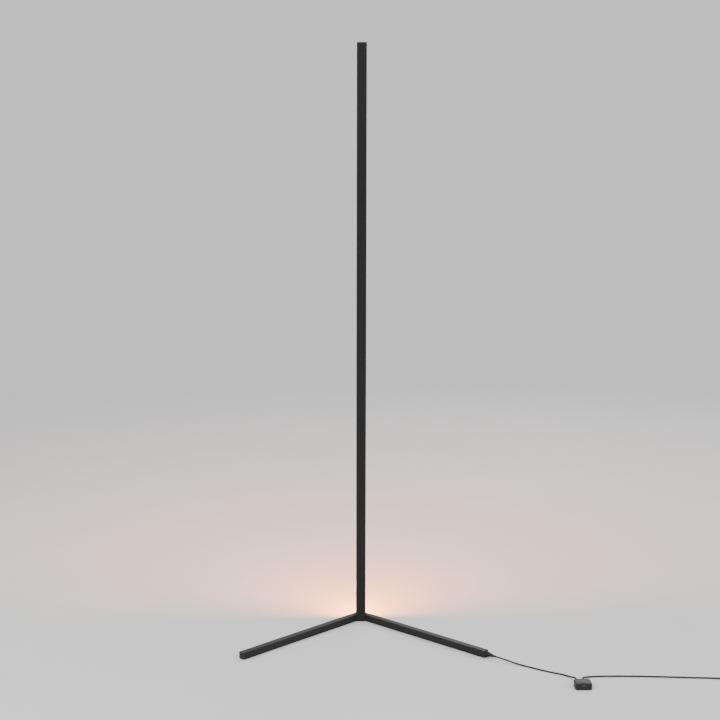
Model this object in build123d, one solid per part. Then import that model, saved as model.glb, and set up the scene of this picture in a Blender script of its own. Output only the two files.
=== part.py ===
from build123d import *
import math
import os

# A slim corner floor lamp: a square pole on two mitred legs, an in-line controller and its leads.
# Millimetres. The pole stands on the Z axis, the floor is Z = 0, and the lamp shines toward +Y.

# Pole: an extrusion with a closed front chamber and an open channel at the back for the light
lamp_height = 1400.0
pole_width = 23.0
pole_wall = 1.4
pole_corner = 0.8
chamber_depth = 9.5
slide_gap = 0.15
rib_proud = 0.7
rib_thickness = 1.0
rib_below_edge = 3.1
section_names = ("lower_pole", "middle_pole", "upper_pole")
splice_names = ("lower_splice", "upper_splice")
splice_length = 80.0
lead_in = 0.6

# Fasteners and their holes repeat, so they are prisms with few sides
fastener_sides = 8

# Screws that hold the pole to the splices and to the corner block
pole_screw_radius = 1.25
pole_screw_head_radius = 2.2
pole_screw_head_height = 1.5
pole_screw_bite = 5.0
pole_screw_inset = 20.0
pole_screw_spread = 7.4
screw_gap = 0.05

# Light
diffuser_wall = 1.6
diffuser_gap = 0.15
diffuser_leg = 1.2
diffuser_barb = 1.0
strip_width = 10.0
strip_thickness = 0.3
chip_size = 5.0
chip_height = 1.6
chip_pitch = 1000.0 / 30
strip_margin = 14.0
connector_width = 15.0
connector_height = 14.0
connector_above_block = 24.0

# Top cap
cap_plate = 3.0
cap_edge = 0.6
cap_plug_length = 10.0
cap_tab_width = 12.0
cap_tab_depth = 4.0

# Legs and corner block
leg_size = 16.0
leg_wall = 1.5
leg_corner = 1.2
leg_reach = 380.0
leg_angle = 45.0
arm_length = 45.0
arm_fit = 0.15
groove_width = 5.0
groove_gap = 0.2
tenon_height = 40.0
leg_screw_radius = 1.5
leg_screw_head_radius = 2.8
leg_screw_bite = 4.0
leg_screw_places = (16.0, 36.0)

# End caps and feet
end_plate = 2.5
end_edge = 0.8
end_plug_length = 8.0
end_plug_wall = 1.5
foot_standoff = 1.0
corner_foot_size = 18.0
corner_foot_recess = 1.0
corner_foot_gap = 0.15
leg_foot_length = 24.0
leg_foot_width = 12.0
leg_foot_inset = 28.0
foot_corner = 2.0

# Leads
cord_diameter = 3.6
cord_sides = 6
floor_gap = 0.1
arc_share = 0.45
relief_exit_run = 22.0
gland_exit_run = 13.0
lead_bend = 11.0
riser_inset = 8.9
relief_length = 26.0
relief_hole_radius = 3.6
relief_boot_radius = 7.4
relief_tip_radius = 2.3
relief_flange_radius = 4.4
relief_flange = 2.0
relief_groove_count = 3
relief_groove_depth = 1.2
relief_gap = 0.05

# In-line controller
box_place = (467.5, -458.0)
box_width = 36.0
box_depth = 31.0
box_height = 15.0
box_corner = 5.0
box_edge = 1.8
box_wall = 1.6
box_split = 7.0
board_size = 22.0
board_thickness = 1.6
board_height = 3.2
board_rear_gap = 3.9
board_rib = 1.2
chip_package = (6.0, 5.0, 1.5)
transistor_package = (3.0, 2.0, 1.1)
transistor_count = 3
transistor_first = 1.0
transistor_pitch = 4.0
board_rib_spread = 8.0
button_place = (0.0, -3.0)
button_radius = 5.0
button_proud = 0.8
button_bevel = 0.4
button_flange = 1.0
button_flange_rim = 1.2
button_gap = 0.2
button_travel = 0.6
switch_size = 6.0
switch_height = 3.5
plunger_radius = 1.7
plunger_proud = 1.0
plunger_sunk = 1.8
plunger_gap = 0.15
boss_radius = 2.3
boss_spread = 13.9
boss_front = 10.5
box_screw_radius = 1.0
box_screw_head_radius = 1.7
box_screw_head_height = 1.2
box_screw_length = 9.0
box_screw_recess = 1.6
window_width = 9.0
window_height = 4.0
window_middle = 10.0
window_flange = 0.8
window_gap = 0.1
gland_spread = 14.0
gland_shift = -0.5
gland_length = 12.0
gland_root_radius = 3.2
gland_tip_radius = 2.4
gland_groove_count = 1
gland_groove_depth = 0.6
gland_neck_radius = 2.6
gland_flange = 1.5
gland_flange_radius = 3.4
gland_gap = 0.1

# Coiled length of the supply lead, tie and plug
coil_place = (836.0, -390.0)
coil_radius = 21.0
coil_pitch = 5.0
coil_rise = 4.6
coil_layers = 2
coil_turns = 5.25
climb_turns = 0.5
coil_start_angle = -90.0
coil_gap = 0.4
coil_gap_step = 2.2
coil_entry_run = 34.0
coil_exit_run = 14.0
tie_thickness = 1.0
tie_width = 7.0
tie_gap = 0.4
tie_angle = 115.0
tie_corner = 2.2
plug_beyond_coil = 72.0
plug_exit_run = 13.0
plug_body_width = 15.6
plug_body_thickness = 8.0
plug_body_length = 22.0
plug_body_edge = 1.6
plug_body_bevel = 0.8
plug_relief_length = 11.0
plug_relief_radius = 3.3
plug_relief_tip = 2.2
plug_groove_count = 1
plug_groove_depth = 0.4
shell_width = 12.0
shell_thickness = 4.5
shell_length = 18.7
shell_sunk = 6.7
shell_wall = 0.3
shell_corner = 0.6
shell_fit = 0.05
shell_window = 2.4
shell_window_inset = 6.0
tongue_thickness = 1.8
contact_count = 4
contact_width = 1.1
contact_pitch = 2.2
contact_thickness = 0.2
contact_length = 8.0

# Places that follow from the sizes
half_pole = pole_width / 2
channel_width = pole_width - 2 * pole_wall
chamber_back = -half_pole + pole_wall + chamber_depth
chamber_middle = chamber_back - chamber_depth / 2
web_back = chamber_back + pole_wall
rib_top = half_pole - rib_below_edge
leg_bottom = foot_standoff
leg_axis_height = leg_bottom + leg_size / 2
pole_bottom = leg_bottom + leg_size
pole_top = lamp_height - cap_plate
section_length = (pole_top - pole_bottom) / len(section_names)
joint_heights = [pole_bottom + section_length * (i + 1) for i in range(len(splice_names))]
leg_bore = leg_size - 2 * leg_wall
arm_size = leg_bore - 2 * arm_fit
cord_radius = cord_diameter / 2
cord_floor = cord_radius + floor_gap
connector_bottom = pole_bottom + connector_above_block
strip_front = web_back + strip_thickness
leg_place = Location((half_pole, 0, leg_axis_height), (0, 0, -leg_angle))
box_middle = Location((box_place[0], box_place[1], 0))
board_top = board_height + board_thickness
board_middle = box_depth / 2 - box_wall - board_rear_gap - board_size / 2
cover_ceiling = box_height - box_wall
gland_places = [gland_shift - gland_spread / 2, gland_shift + gland_spread / 2]
layer_turns = (coil_turns - climb_turns * (coil_layers - 1)) / coil_layers
coil_floor = tie_thickness + tie_gap + cord_radius
plug_axis_height = plug_body_thickness / 2


def block(x, y, z):
    """A box between two limits on each axis."""
    limits = (x, y, z)
    size = [high - low for low, high in limits]
    middle = [(low + high) / 2 for low, high in limits]
    return Pos(*middle) * Box(*size)


def bar(width, depth, height, corner):
    """An upright bar with rounded corners, standing on its own middle."""
    return extrude(RectangleRounded(width, depth, corner), height)


def turned(profile):
    """A solid of revolution about the X axis from (distance, radius) points that start on the axis."""
    outline = Polyline(*profile, (profile[-1][0], 0), (profile[0][0], 0), close=True)
    return revolve(make_face(outline), Axis.X)


def top_edges(solid):
    return solid.faces().sort_by(Axis.Z)[-1].edges()


def pin(radius, bottom, top):
    """An upright prism with few sides, for a fastener or its hole."""
    return Pos(0, 0, bottom) * extrude(RegularPolygon(radius, fastener_sides), top - bottom)


# Pole


def pole_profile():
    outline = RectangleRounded(pole_width, pole_width, pole_corner)
    outline -= Pos(0, chamber_middle) * Rectangle(channel_width, chamber_depth)
    channel_depth = pole_width
    outline -= Pos(0, web_back + channel_depth / 2) * Rectangle(channel_width, channel_depth)
    for side in (-1, 1):
        rib_width = rib_proud + pole_wall / 2
        rib_middle = channel_width / 2 - rib_proud + rib_width / 2
        outline += Pos(side * rib_middle, rib_top - rib_thickness / 2) * Rectangle(rib_width, rib_thickness)
    return outline


def pole_screw_heights():
    heights = [pole_bottom + pole_screw_inset]
    for joint in joint_heights:
        heights += [joint - pole_screw_inset, joint + pole_screw_inset]
    return heights


def pole_screw_pins(radius, front, back):
    """A pin along Y at every screw of the pole, between two distances from the pole's middle."""
    lying = Rot(-90, 0, 0) * pin(radius, front, back)
    return [
        Pos(side * pole_screw_spread, 0, height) * lying
        for height in pole_screw_heights()
        for side in (-1, 1)
    ]


def pole_section(index):
    section = Pos(0, 0, pole_bottom + index * section_length) * extrude(pole_profile(), section_length)
    hole_radius = pole_screw_radius + screw_gap
    return section - pole_screw_pins(hole_radius, chamber_back - pole_wall, web_back + pole_wall)


def chamber_bar(length):
    """A bar that slides into the pole's front chamber, with a lead-in at its upper end."""
    width = channel_width - 2 * slide_gap
    depth = chamber_depth - 2 * slide_gap
    slider = extrude(Rectangle(width, depth), length)
    slider = chamfer(top_edges(slider), lead_in)
    return Pos(0, chamber_middle, 0) * slider


def splice(index):
    joiner = Pos(0, 0, joint_heights[index] - splice_length / 2) * chamber_bar(splice_length)
    return joiner - pole_screw_pins(pole_screw_radius + screw_gap, chamber_back - pole_screw_bite, web_back)


def pole_screws():
    tip = chamber_back - pole_screw_bite
    shanks = pole_screw_pins(pole_screw_radius, tip, web_back)
    heads = pole_screw_pins(pole_screw_head_radius, web_back, web_back + pole_screw_head_height)
    return [shank + head for shank, head in zip(shanks, heads)]


# Light


def light_diffuser():
    """Opal cover: a plate flush with the pole's back edges, and two barbed legs that snap behind the ribs."""
    half = channel_width / 2 - diffuser_gap
    plate_front = half_pole - diffuser_wall
    leg_outer = channel_width / 2 - rib_proud - diffuser_gap
    barb_top = rib_top - rib_thickness - diffuser_gap
    barb_bottom = barb_top - diffuser_barb
    leg_inner = leg_outer - diffuser_leg
    right = [
        (0, half_pole),
        (half, half_pole),
        (half, plate_front),
        (leg_outer, plate_front),
        (leg_outer, barb_top),
        (half, barb_top),
        (leg_outer, barb_bottom),
        (leg_inner, barb_bottom),
        (leg_inner, plate_front),
        (0, plate_front),
    ]
    half_face = make_face(Polyline(*right, close=True))
    profile = half_face + mirror(half_face, about=Plane.YZ)
    return Pos(0, 0, pole_bottom) * extrude(profile, pole_top - pole_bottom)


def strip_span():
    return connector_bottom, pole_top - strip_margin


def led_strip():
    return block((-strip_width / 2, strip_width / 2), (web_back, strip_front), strip_span())


def led_chips():
    bottom = connector_bottom + connector_height
    top = strip_span()[1]
    count = int((top - bottom) / chip_pitch)
    first = bottom + chip_pitch / 2
    half = chip_size / 2
    return [
        block((-half, half), (strip_front, strip_front + chip_height), (middle - half, middle + half))
        for middle in (first + chip_pitch * i for i in range(count))
    ]


def leg_point(distance):
    """A point on the right leg's middle line, at a distance out from the corner block's side."""
    return (leg_place * Pos(distance, 0, 0)).position


def riser():
    """Where the lead turns up into the pole: on the right leg's middle line, inside the corner block."""
    return leg_point(-riser_inset)


def strip_connector():
    """Clip on the lower end of the strip, with the line where its lid shuts."""
    back = riser().Y + cord_radius
    half = connector_width / 2
    height = (connector_bottom, connector_bottom + connector_height)
    clip = block((-half, half), (strip_front, back), height)
    clip = chamfer(clip.edges().filter_by(Axis.Z).sort_by(Axis.Y)[-2:], lead_in)
    lid_line = connector_bottom + connector_height / 2
    line = block((-pole_width, pole_width), (back - lead_in, pole_width), (lid_line, lid_line + lead_in))
    return clip - line


# Top cap


def top_cap():
    plate = Pos(0, 0, pole_top) * bar(pole_width, pole_width, cap_plate, pole_corner)
    plate = chamfer(top_edges(plate), cap_edge)
    plug = Pos(0, 0, pole_top) * Rot(0, 180, 0) * chamber_bar(cap_plug_length)
    tab_middle = (strip_front + half_pole - diffuser_wall) / 2
    tab = block(
        (-cap_tab_width / 2, cap_tab_width / 2),
        (tab_middle - cap_tab_depth / 2, tab_middle + cap_tab_depth / 2),
        (pole_top - cap_plug_length, pole_top),
    )
    return plate + plug + tab


# Legs and corner block


def on_leg(solid, side=1):
    """Puts a solid drawn along a leg, X outward and Z up from its middle line, on the right or left leg."""
    placed = leg_place * solid
    return placed if side > 0 else mirror(placed, about=Plane.YZ)


def leg_screw_axis(place):
    return Pos(place, 0, -leg_size / 2)


def leg_screw(gap=0.0):
    """A countersunk screw that points up from the underside of a leg."""
    rim = RegularPolygon(leg_screw_head_radius + gap, fastener_sides)
    slope = math.degrees(math.atan((leg_screw_head_radius - leg_screw_radius) / leg_wall))
    head = extrude(rim, leg_wall, taper=slope)
    return head + pin(leg_screw_radius + gap, 0, leg_wall + arm_fit + leg_screw_bite + gap)


def leg_screw_set(gap=0.0):
    return [leg_screw_axis(place) * leg_screw(gap) for place in leg_screw_places]


def leg(side):
    """Square tube, cut against the side of the corner block and left square at its outer end."""
    section = RectangleRounded(leg_size, leg_size, leg_corner) - Rectangle(leg_bore, leg_bore)
    start = -leg_size
    length = leg_reach - end_plate - start
    tube = Pos(start, 0, 0) * extrude(Plane.YZ * section, length)
    tube -= leg_screw_set(screw_gap)
    mitre = Plane((half_pole, 0, 0), z_dir=(1, 0, 0))
    cut = split(leg_place * tube, bisect_by=mitre, keep=Keep.TOP)
    return cut if side > 0 else mirror(cut, about=Plane.YZ)


def leg_screws():
    return [on_leg(screw, side) for side in (-1, 1) for screw in leg_screw_set()]


def corner_block():
    """Cast corner: a cube under the pole, a tenon up into it and a grooved arm out into each leg."""
    half_arm = arm_size / 2
    cube = Pos(0, 0, leg_bottom) * bar(pole_width, pole_width, leg_size, pole_corner)
    arm = block((-leg_size / 2, arm_length), (-half_arm, half_arm), (-half_arm, half_arm))
    arm = chamfer(arm.faces().sort_by(Axis.X)[-1].edges(), lead_in)
    groove = block(
        (-riser_inset - groove_width / 2, 2 * arm_length),
        (-groove_width / 2, groove_width / 2),
        (-cord_radius - groove_gap, leg_size),
    )
    casting = cube + on_leg(arm, 1) + on_leg(arm, -1)
    casting -= on_leg(groove, 1) + on_leg(groove, -1)
    casting += Pos(0, 0, pole_bottom) * chamber_bar(tenon_height)
    casting -= [on_leg(screw, side) for side in (-1, 1) for screw in leg_screw_set(screw_gap)]
    casting -= pole_screw_pins(pole_screw_radius + screw_gap, chamber_back - pole_screw_bite, web_back)
    recess_size = corner_foot_size + 2 * corner_foot_gap
    casting -= Pos(0, 0, leg_bottom) * bar(recess_size, recess_size, corner_foot_recess, foot_corner)
    return casting


def end_cap(side):
    """Plug with a flush plate. The right one has the hole for the lead's strain relief."""
    half_plug = leg_bore / 2 - arm_fit
    inner = half_plug - end_plug_wall
    plate = extrude(Plane.YZ * RectangleRounded(leg_size, leg_size, leg_corner), end_plate)
    plate = chamfer(plate.faces().sort_by(Axis.X)[-1].edges(), end_edge)
    plug = block((-end_plug_length, 0), (-half_plug, half_plug), (-half_plug, half_plug))
    plug -= block((-2 * end_plug_length, 0), (-inner, inner), (-inner, inner))
    cap = plate + plug
    if side > 0:
        cap -= Rot(0, 90, 0) * Cylinder(relief_hole_radius, 4 * end_plate)
    return on_leg(Pos(leg_reach - end_plate, 0, 0) * cap, side)


def corner_foot():
    return bar(corner_foot_size, corner_foot_size, foot_standoff + corner_foot_recess, foot_corner)


def leg_foot(side):
    pad = bar(leg_foot_length, leg_foot_width, foot_standoff, foot_corner)
    return on_leg(Pos(leg_reach - leg_foot_inset, 0, -leg_axis_height) * pad, side)


# Leads


def ribbed_taper(start, length, root, tip, grooves, depth):
    """Points (distance, radius) of a sleeve whose bands step down to its tip, with grooves between them."""
    bands = 2 * grooves + 1
    pitch = length / bands
    points = []
    for i in range(bands):
        drop = depth if i % 2 else 0
        radius = root + (tip - root) * i / (bands - 1) - drop
        points += [(start + i * pitch, radius), (start + (i + 1) * pitch, radius)]
    return points


def strain_relief():
    """Boot on the right end cap: a flange inside the cap, a neck and a tapered sleeve with flex grooves."""
    inside = leg_reach - end_plate
    neck = relief_hole_radius - relief_gap
    profile = [
        (inside - relief_flange, relief_flange_radius),
        (inside, relief_flange_radius),
        (inside, neck),
        (leg_reach, neck),
    ]
    profile += ribbed_taper(
        leg_reach,
        relief_length,
        relief_boot_radius,
        relief_tip_radius,
        relief_groove_count,
        relief_groove_depth,
    )
    return on_leg(turned(profile))


def cord_section():
    return RegularPolygon(cord_radius, cord_sides)


def tube(path):
    return sweep(Plane(path @ 0, z_dir=path % 0) * cord_section(), path=path)


def rounded_route(points):
    """Straight runs joined by the largest arcs that the runs beside each point allow."""
    runs = [b - a for a, b in zip(points, points[1:])]
    radii = []
    for before, after in zip(runs, runs[1:]):
        half_turn = math.radians(before.get_angle(after)) / 2
        radii.append(arc_share * min(before.length, after.length) / math.tan(half_turn))
    return FilletPolyline(*points, radius=radii), radii


def report_tube(name, solid, path):
    ratio = solid.volume / (cord_section().area * path.length)
    print(f"{name}: length {path.length:.1f} mm, volume over section times length {ratio:.4f}")


def cord(name, points):
    path, radii = rounded_route(points)
    solid = tube(path)
    report_tube(name, solid, path)
    print(f"{name}: radii {[round(radius, 1) for radius in radii]}")
    return solid


def leg_lead():
    """Lead inside the right leg: from the strain relief to the corner block, then up to the connector."""
    start = leg_point(leg_reach - end_plate - relief_flange)
    corner = riser()
    path = FilletPolyline(start, corner, Vector(corner.X, corner.Y, connector_bottom), radius=lead_bend)
    return tube(path)


def gland_tip(index):
    rear = box_place[1] + box_depth / 2
    return Vector(box_place[0] + gland_places[index], rear + gland_length, box_split)


def lamp_cord_points():
    """Route on the floor from the leg to the controller, chosen by hand after the photograph."""
    start = leg_point(leg_reach + relief_length)
    end = gland_tip(0)
    return [
        start,
        leg_point(leg_reach + relief_length + relief_exit_run),
        Vector(345, -317, cord_floor),
        Vector(380, -345.5, cord_floor),
        Vector(414, -371, cord_floor),
        Vector(436, -383, cord_floor),
        Vector(452, -401, 2.8),
        end + Vector(0, gland_exit_run, 0),
        end,
    ]


def supply_points():
    """Route on the floor from the controller toward the right edge of the picture."""
    start = gland_tip(1)
    return [
        start,
        start + Vector(0, gland_exit_run, 0),
        Vector(481, -405.5, 3.4),
        Vector(494, -398.5, cord_floor),
        Vector(518, -396.5, cord_floor),
        Vector(560, -396.5, cord_floor),
    ]


def lead_in_points():
    """Route on the floor along the coil's lead-in, past the edge of the picture to its first turn."""
    end, heading = coil_entry()
    return [
        Vector(610, -399, cord_floor),
        Vector(662, -403.5, cord_floor),
        Vector(714, -409, cord_floor),
        Vector(762, -413, cord_floor),
        end - heading * coil_entry_run,
        end,
    ]


def lead_in_start():
    """Where the free lead ends and the lead-in of the coil begins, in the middle of a run."""
    return (supply_points()[-1] + lead_in_points()[0]) * 0.5


def plug_lead_points():
    """Tail from the top of the coil down to the plug beside it."""
    start, heading = coil_exit()
    end = plug_tip()
    return [
        start,
        start + heading * coil_exit_run,
        Vector(end.X + 2, -350, 6.4),
        end - Vector(0, plug_exit_run, 0),
        end,
    ]


# Coil


def coil_point(turn):
    """Middle of the coiled lead, a number of turns after it starts. Layers spiral in and out by turns."""
    step = layer_turns + climb_turns
    layer = min(int(turn / step), coil_layers - 1)
    along = turn - layer * step
    spiral = min(along, layer_turns)
    climb = max(along - layer_turns, 0) / climb_turns
    inward = spiral if layer % 2 == 0 else layer_turns - spiral
    radius = coil_radius + coil_pitch * (layer_turns / 2 - inward)
    angle = math.radians(coil_start_angle + 360 * turn)
    return Vector(
        coil_place[0] + radius * math.cos(angle),
        coil_place[1] + radius * math.sin(angle),
        coil_floor + coil_rise * (layer + climb),
    )


def coil_heading(turn):
    step = 0.02
    before = max(turn - step, 0)
    after = min(turn + step, coil_turns)
    return (coil_point(after) - coil_point(before)).normalized()


def coil_entry():
    heading = coil_heading(0)
    return coil_point(0) - heading * cord_diameter, heading


def coil_exit():
    heading = coil_heading(coil_turns)
    return coil_point(coil_turns) + heading * cord_diameter, heading


def biarc(start, start_heading, end, end_heading):
    """Two arcs that join smoothly and leave and arrive along the two headings."""
    chord = end - start
    both = start_heading + end_heading
    spread = 2 * (1 - start_heading.dot(end_heading))
    along = chord.dot(both)
    reach = (-along + math.sqrt(along**2 + spread * chord.dot(chord))) / spread
    first_corner = start + start_heading * reach
    last_corner = end - end_heading * reach
    middle = (first_corner + last_corner) * 0.5
    return [
        TangentArc(start, middle, tangent=start_heading),
        TangentArc(middle, end, tangent=(last_corner - first_corner).normalized()),
    ]


def coil_path():
    quarters = round(coil_turns * 4)
    turns = [coil_turns * i / quarters for i in range(quarters + 1)]
    approach, _ = rounded_route([lead_in_start()] + lead_in_points())
    pieces = approach.edges() + [Line(coil_entry()[0], coil_point(0))]
    for start, end in zip(turns, turns[1:]):
        pieces += biarc(coil_point(start), coil_heading(start), coil_point(end), coil_heading(end))
    pieces.append(Line(coil_point(coil_turns), coil_exit()[0]))
    return Wire(pieces)


def least_gap(path):
    """Least room between one turn of the coil and any other, measured on points along it."""
    count = round(path.length / coil_gap_step)
    points = [path.position_at(i / count) for i in range(count + 1)]
    near = math.pi * coil_radius / coil_gap_step
    return min(
        (points[i] - points[j]).length - cord_diameter
        for i in range(count + 1)
        for j in range(i)
        if i - j > near
    )


def cord_coil():
    path = coil_path()
    solid = tube(path)
    report_tube("cord_coil", solid, path)
    gap = least_gap(path)
    print(f"cord_coil: least gap to itself {gap:.2f} mm, should be over {coil_gap}")
    return solid


def tie_span():
    """Distances from the coil's middle to the two inner sides of the tie, clear of the turns' bow."""
    first_turn = (tie_angle - coil_start_angle) / 360 % 1
    distances = []
    for turn in range(int(coil_turns - first_turn) + 1):
        place = coil_point(first_turn + turn)
        distances.append(math.dist((place.X, place.Y), coil_place))
    room = cord_radius + tie_gap
    nearest = math.sqrt(min(distances) ** 2 - (tie_width / 2) ** 2)
    return nearest - room, max(distances) + room


def cord_tie():
    """Strap drawn round the turns that pass it at one angle."""
    near, far = tie_span()
    height = coil_rise * (coil_layers - 1) + cord_diameter + 2 * tie_gap
    outer = RectangleRounded(
        far - near + 2 * tie_thickness, height + 2 * tie_thickness, tie_corner + tie_thickness
    )
    inner = RectangleRounded(far - near, height, tie_corner)
    ring = extrude(Plane.XZ * (outer - inner), tie_width / 2, both=True)
    middle_height = height / 2 + tie_thickness
    place = Location((coil_place[0], coil_place[1], middle_height), (0, 0, tie_angle))
    return place * Pos((near + far) / 2, 0, 0) * ring


# Plug


def plug_tip():
    """Where the tail enters the plug, beside the coil."""
    end, _ = coil_exit()
    return Vector(end.X, end.Y + plug_beyond_coil, plug_axis_height)


def plug_place():
    """The plug is drawn along X from the tip of its sleeve, and lies along Y."""
    tip = plug_tip()
    return Location((tip.X, tip.Y, tip.Z), (0, 0, 90))


def shell_start():
    return plug_relief_length + plug_body_length - shell_sunk


def plug_body():
    """Moulded grip with a tapered sleeve for the lead and a pocket for the metal shell."""
    grip = Pos(plug_relief_length, 0, 0) * extrude(
        Plane.YZ * RectangleRounded(plug_body_width, plug_body_thickness, plug_body_edge), plug_body_length
    )
    grip = chamfer(grip.faces().sort_by(Axis.X)[0].edges(), plug_body_bevel)
    sleeve = turned(
        ribbed_taper(
            0, plug_relief_length, plug_relief_tip, plug_relief_radius, plug_groove_count, plug_groove_depth
        )
    )
    pocket_size = (shell_width + 2 * shell_fit, shell_thickness + 2 * shell_fit)
    pocket = Pos(shell_start(), 0, 0) * extrude(
        Plane.YZ * RectangleRounded(*pocket_size, shell_corner), shell_length
    )
    return plug_place() * (grip + sleeve - pocket)


def plug_shell():
    """Metal shell with the two latch windows in each broad face."""
    inner_corner = shell_corner - shell_wall
    outline = RectangleRounded(shell_width, shell_thickness, shell_corner)
    outline -= RectangleRounded(shell_width - 2 * shell_wall, shell_thickness - 2 * shell_wall, inner_corner)
    shell = extrude(Plane.YZ * outline, shell_length)
    half = shell_window / 2
    for side in (-1, 1):
        middle = side * shell_width / 4
        away = shell_length - shell_window_inset
        shell -= block((away, away + shell_window), (middle - half, middle + half), (-pole_width, pole_width))
    return plug_place() * Pos(shell_start(), 0, 0) * shell


def plug_tongue():
    """Insulating tongue that fills the upper half of the shell."""
    width = shell_width - 2 * (shell_wall + shell_fit)
    top = shell_thickness / 2 - shell_wall - shell_fit
    section = RectangleRounded(width, tongue_thickness, shell_corner - shell_wall)
    tongue = extrude(Plane.YZ * section, shell_length - shell_wall)
    return plug_place() * Pos(shell_start(), 0, top - tongue_thickness / 2) * tongue


def plug_contacts():
    under = shell_thickness / 2 - shell_wall - shell_fit - tongue_thickness
    end = shell_length - 2 * shell_wall
    strips = []
    for i in range(contact_count):
        middle = (i - (contact_count - 1) / 2) * contact_pitch
        strip = block(
            (end - contact_length, end),
            (middle - contact_width / 2, middle + contact_width / 2),
            (under - contact_thickness, under),
        )
        strips.append(plug_place() * Pos(shell_start(), 0, 0) * strip)
    return strips


# Controller


def box_hollow(bottom, top):
    corner = box_corner - box_wall
    hollow = bar(box_width - 2 * box_wall, box_depth - 2 * box_wall, top - bottom, corner)
    return Pos(0, 0, bottom) * hollow


def gland_holes():
    rear = box_depth / 2
    hole = Rot(90, 0, 0) * Cylinder(gland_neck_radius + gland_gap, 4 * box_wall)
    return [Pos(place, rear, box_split) * hole for place in gland_places]


def boss_places():
    return [Pos(side * boss_spread, -boss_front, 0) for side in (-1, 1)]


def upright(radius, bottom, top, place):
    return Pos(place[0], place[1], (bottom + top) / 2) * Cylinder(radius, top - bottom)


def controller_base():
    """Lower shell: floor, walls, ribs for the board, screw posts and half of each gland hole."""
    shell = bar(box_width, box_depth, box_split, box_corner)
    shell = chamfer(shell.faces().sort_by(Axis.Z)[0].edges(), lead_in)
    shell -= box_hollow(box_wall, box_height)
    for side in (-1, 1):
        middle = side * board_rib_spread
        shell += block(
            (middle - board_rib / 2, middle + board_rib / 2),
            (board_middle - board_size / 2, board_middle + board_size / 2),
            (box_wall, board_height),
        )
    for place in boss_places():
        shell += place * pin(boss_radius, box_wall, box_split)
        shell -= place * pin(box_screw_radius + screw_gap, 0, box_height)
        shell -= place * pin(box_screw_head_radius + screw_gap, 0, box_screw_recess)
    return box_middle * (shell - gland_holes())


def controller_cover():
    """Upper shell: rounded top with the button hole, the receiver opening and two screw bosses."""
    shell = Pos(0, 0, box_split) * bar(box_width, box_depth, box_height - box_split, box_corner)
    shell = chamfer(top_edges(shell), box_edge)
    shell -= box_hollow(0, cover_ceiling)
    for place in boss_places():
        shell += place * pin(boss_radius, box_split, cover_ceiling + box_wall / 2)
        shell -= place * pin(box_screw_radius + screw_gap, 0, box_screw_recess + box_screw_length)
    shell -= upright(button_radius + button_gap, box_split, 2 * box_height, button_place)
    shell -= window_block(window_gap, 2 * box_wall)
    return box_middle * (shell - gland_holes())


def window_block(gap, depth):
    """The receiver's opening in the front wall, with a gap all round."""
    half_width = window_width / 2 + gap
    half_height = window_height / 2 + gap
    front = -box_depth / 2
    return block(
        (-half_width, half_width),
        (front - gap, front + depth),
        (window_middle - half_height, window_middle + half_height),
    )


def receiver_window():
    """Dark window with a rim behind the front wall."""
    inside = -box_depth / 2 + box_wall
    rim_width = window_width / 2 + window_flange
    rim_height = window_height / 2 + window_flange
    rim = block(
        (-rim_width, rim_width),
        (inside, inside + window_flange),
        (window_middle - rim_height, window_middle + rim_height),
    )
    return box_middle * (window_block(0, box_wall) + rim)


def controller_board():
    half = board_size / 2
    return box_middle * block(
        (-half, half), (board_middle - half, board_middle + half), (board_height, board_top)
    )


def on_board(size, place):
    """A box of a given size that stands on the board at a place."""
    return Pos(place[0], place[1], board_top + size[2] / 2) * Box(*size)


def board_chips():
    """Controller chip and a row of switching transistors, on the rear part of the board."""
    row = board_middle + board_size / 4
    chips = [on_board(chip_package, (-board_size / 4, row))]
    for i in range(transistor_count):
        chips.append(on_board(transistor_package, (transistor_first + transistor_pitch * i, row)))
    return [box_middle * chip for chip in chips]


def switch_top():
    return board_top + switch_height


def switch_body():
    half = switch_size / 2
    x, y = button_place
    body = block((x - half, x + half), (y - half, y + half), (board_top, switch_top()))
    well_bottom = switch_top() - plunger_sunk - button_travel - plunger_gap
    return box_middle * (body - upright(plunger_radius + plunger_gap, well_bottom, box_height, button_place))


def switch_plunger():
    bottom = switch_top() - plunger_sunk
    return box_middle * upright(plunger_radius, bottom, switch_top() + plunger_proud, button_place)


def controller_button():
    """Round button with a domed face, a rim that the cover keeps in and a stem on the switch."""
    flange_top = cover_ceiling - button_gap
    flange_bottom = flange_top - button_flange
    cap = upright(button_radius, flange_bottom, box_height + button_proud, button_place)
    cap = chamfer(top_edges(cap), button_bevel)
    rim = upright(button_radius + button_flange_rim, flange_bottom, flange_top, button_place)
    stem = upright(plunger_radius, switch_top() + plunger_proud, flange_bottom, button_place)
    return box_middle * (cap + rim + stem)


def controller_screws():
    head = pin(box_screw_head_radius, box_screw_recess - box_screw_head_height, box_screw_recess)
    shank = pin(box_screw_radius, box_screw_recess, box_screw_recess + box_screw_length)
    return [box_middle * place * (head + shank) for place in boss_places()]


def gland(index):
    """Moulded sleeve through the rear wall: a flange inside, a neck in the wall and a taper outside."""
    profile = [
        (-box_wall - gland_gap - gland_flange, gland_flange_radius),
        (-box_wall - gland_gap, gland_flange_radius),
        (-box_wall - gland_gap, gland_neck_radius),
        (0, gland_neck_radius),
    ]
    profile += ribbed_taper(
        0, gland_length, gland_root_radius, gland_tip_radius, gland_groove_count, gland_groove_depth
    )
    tip = gland_tip(index)
    return Location((tip.X, tip.Y - gland_length, tip.Z), (0, 0, 90)) * turned(profile)


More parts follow.
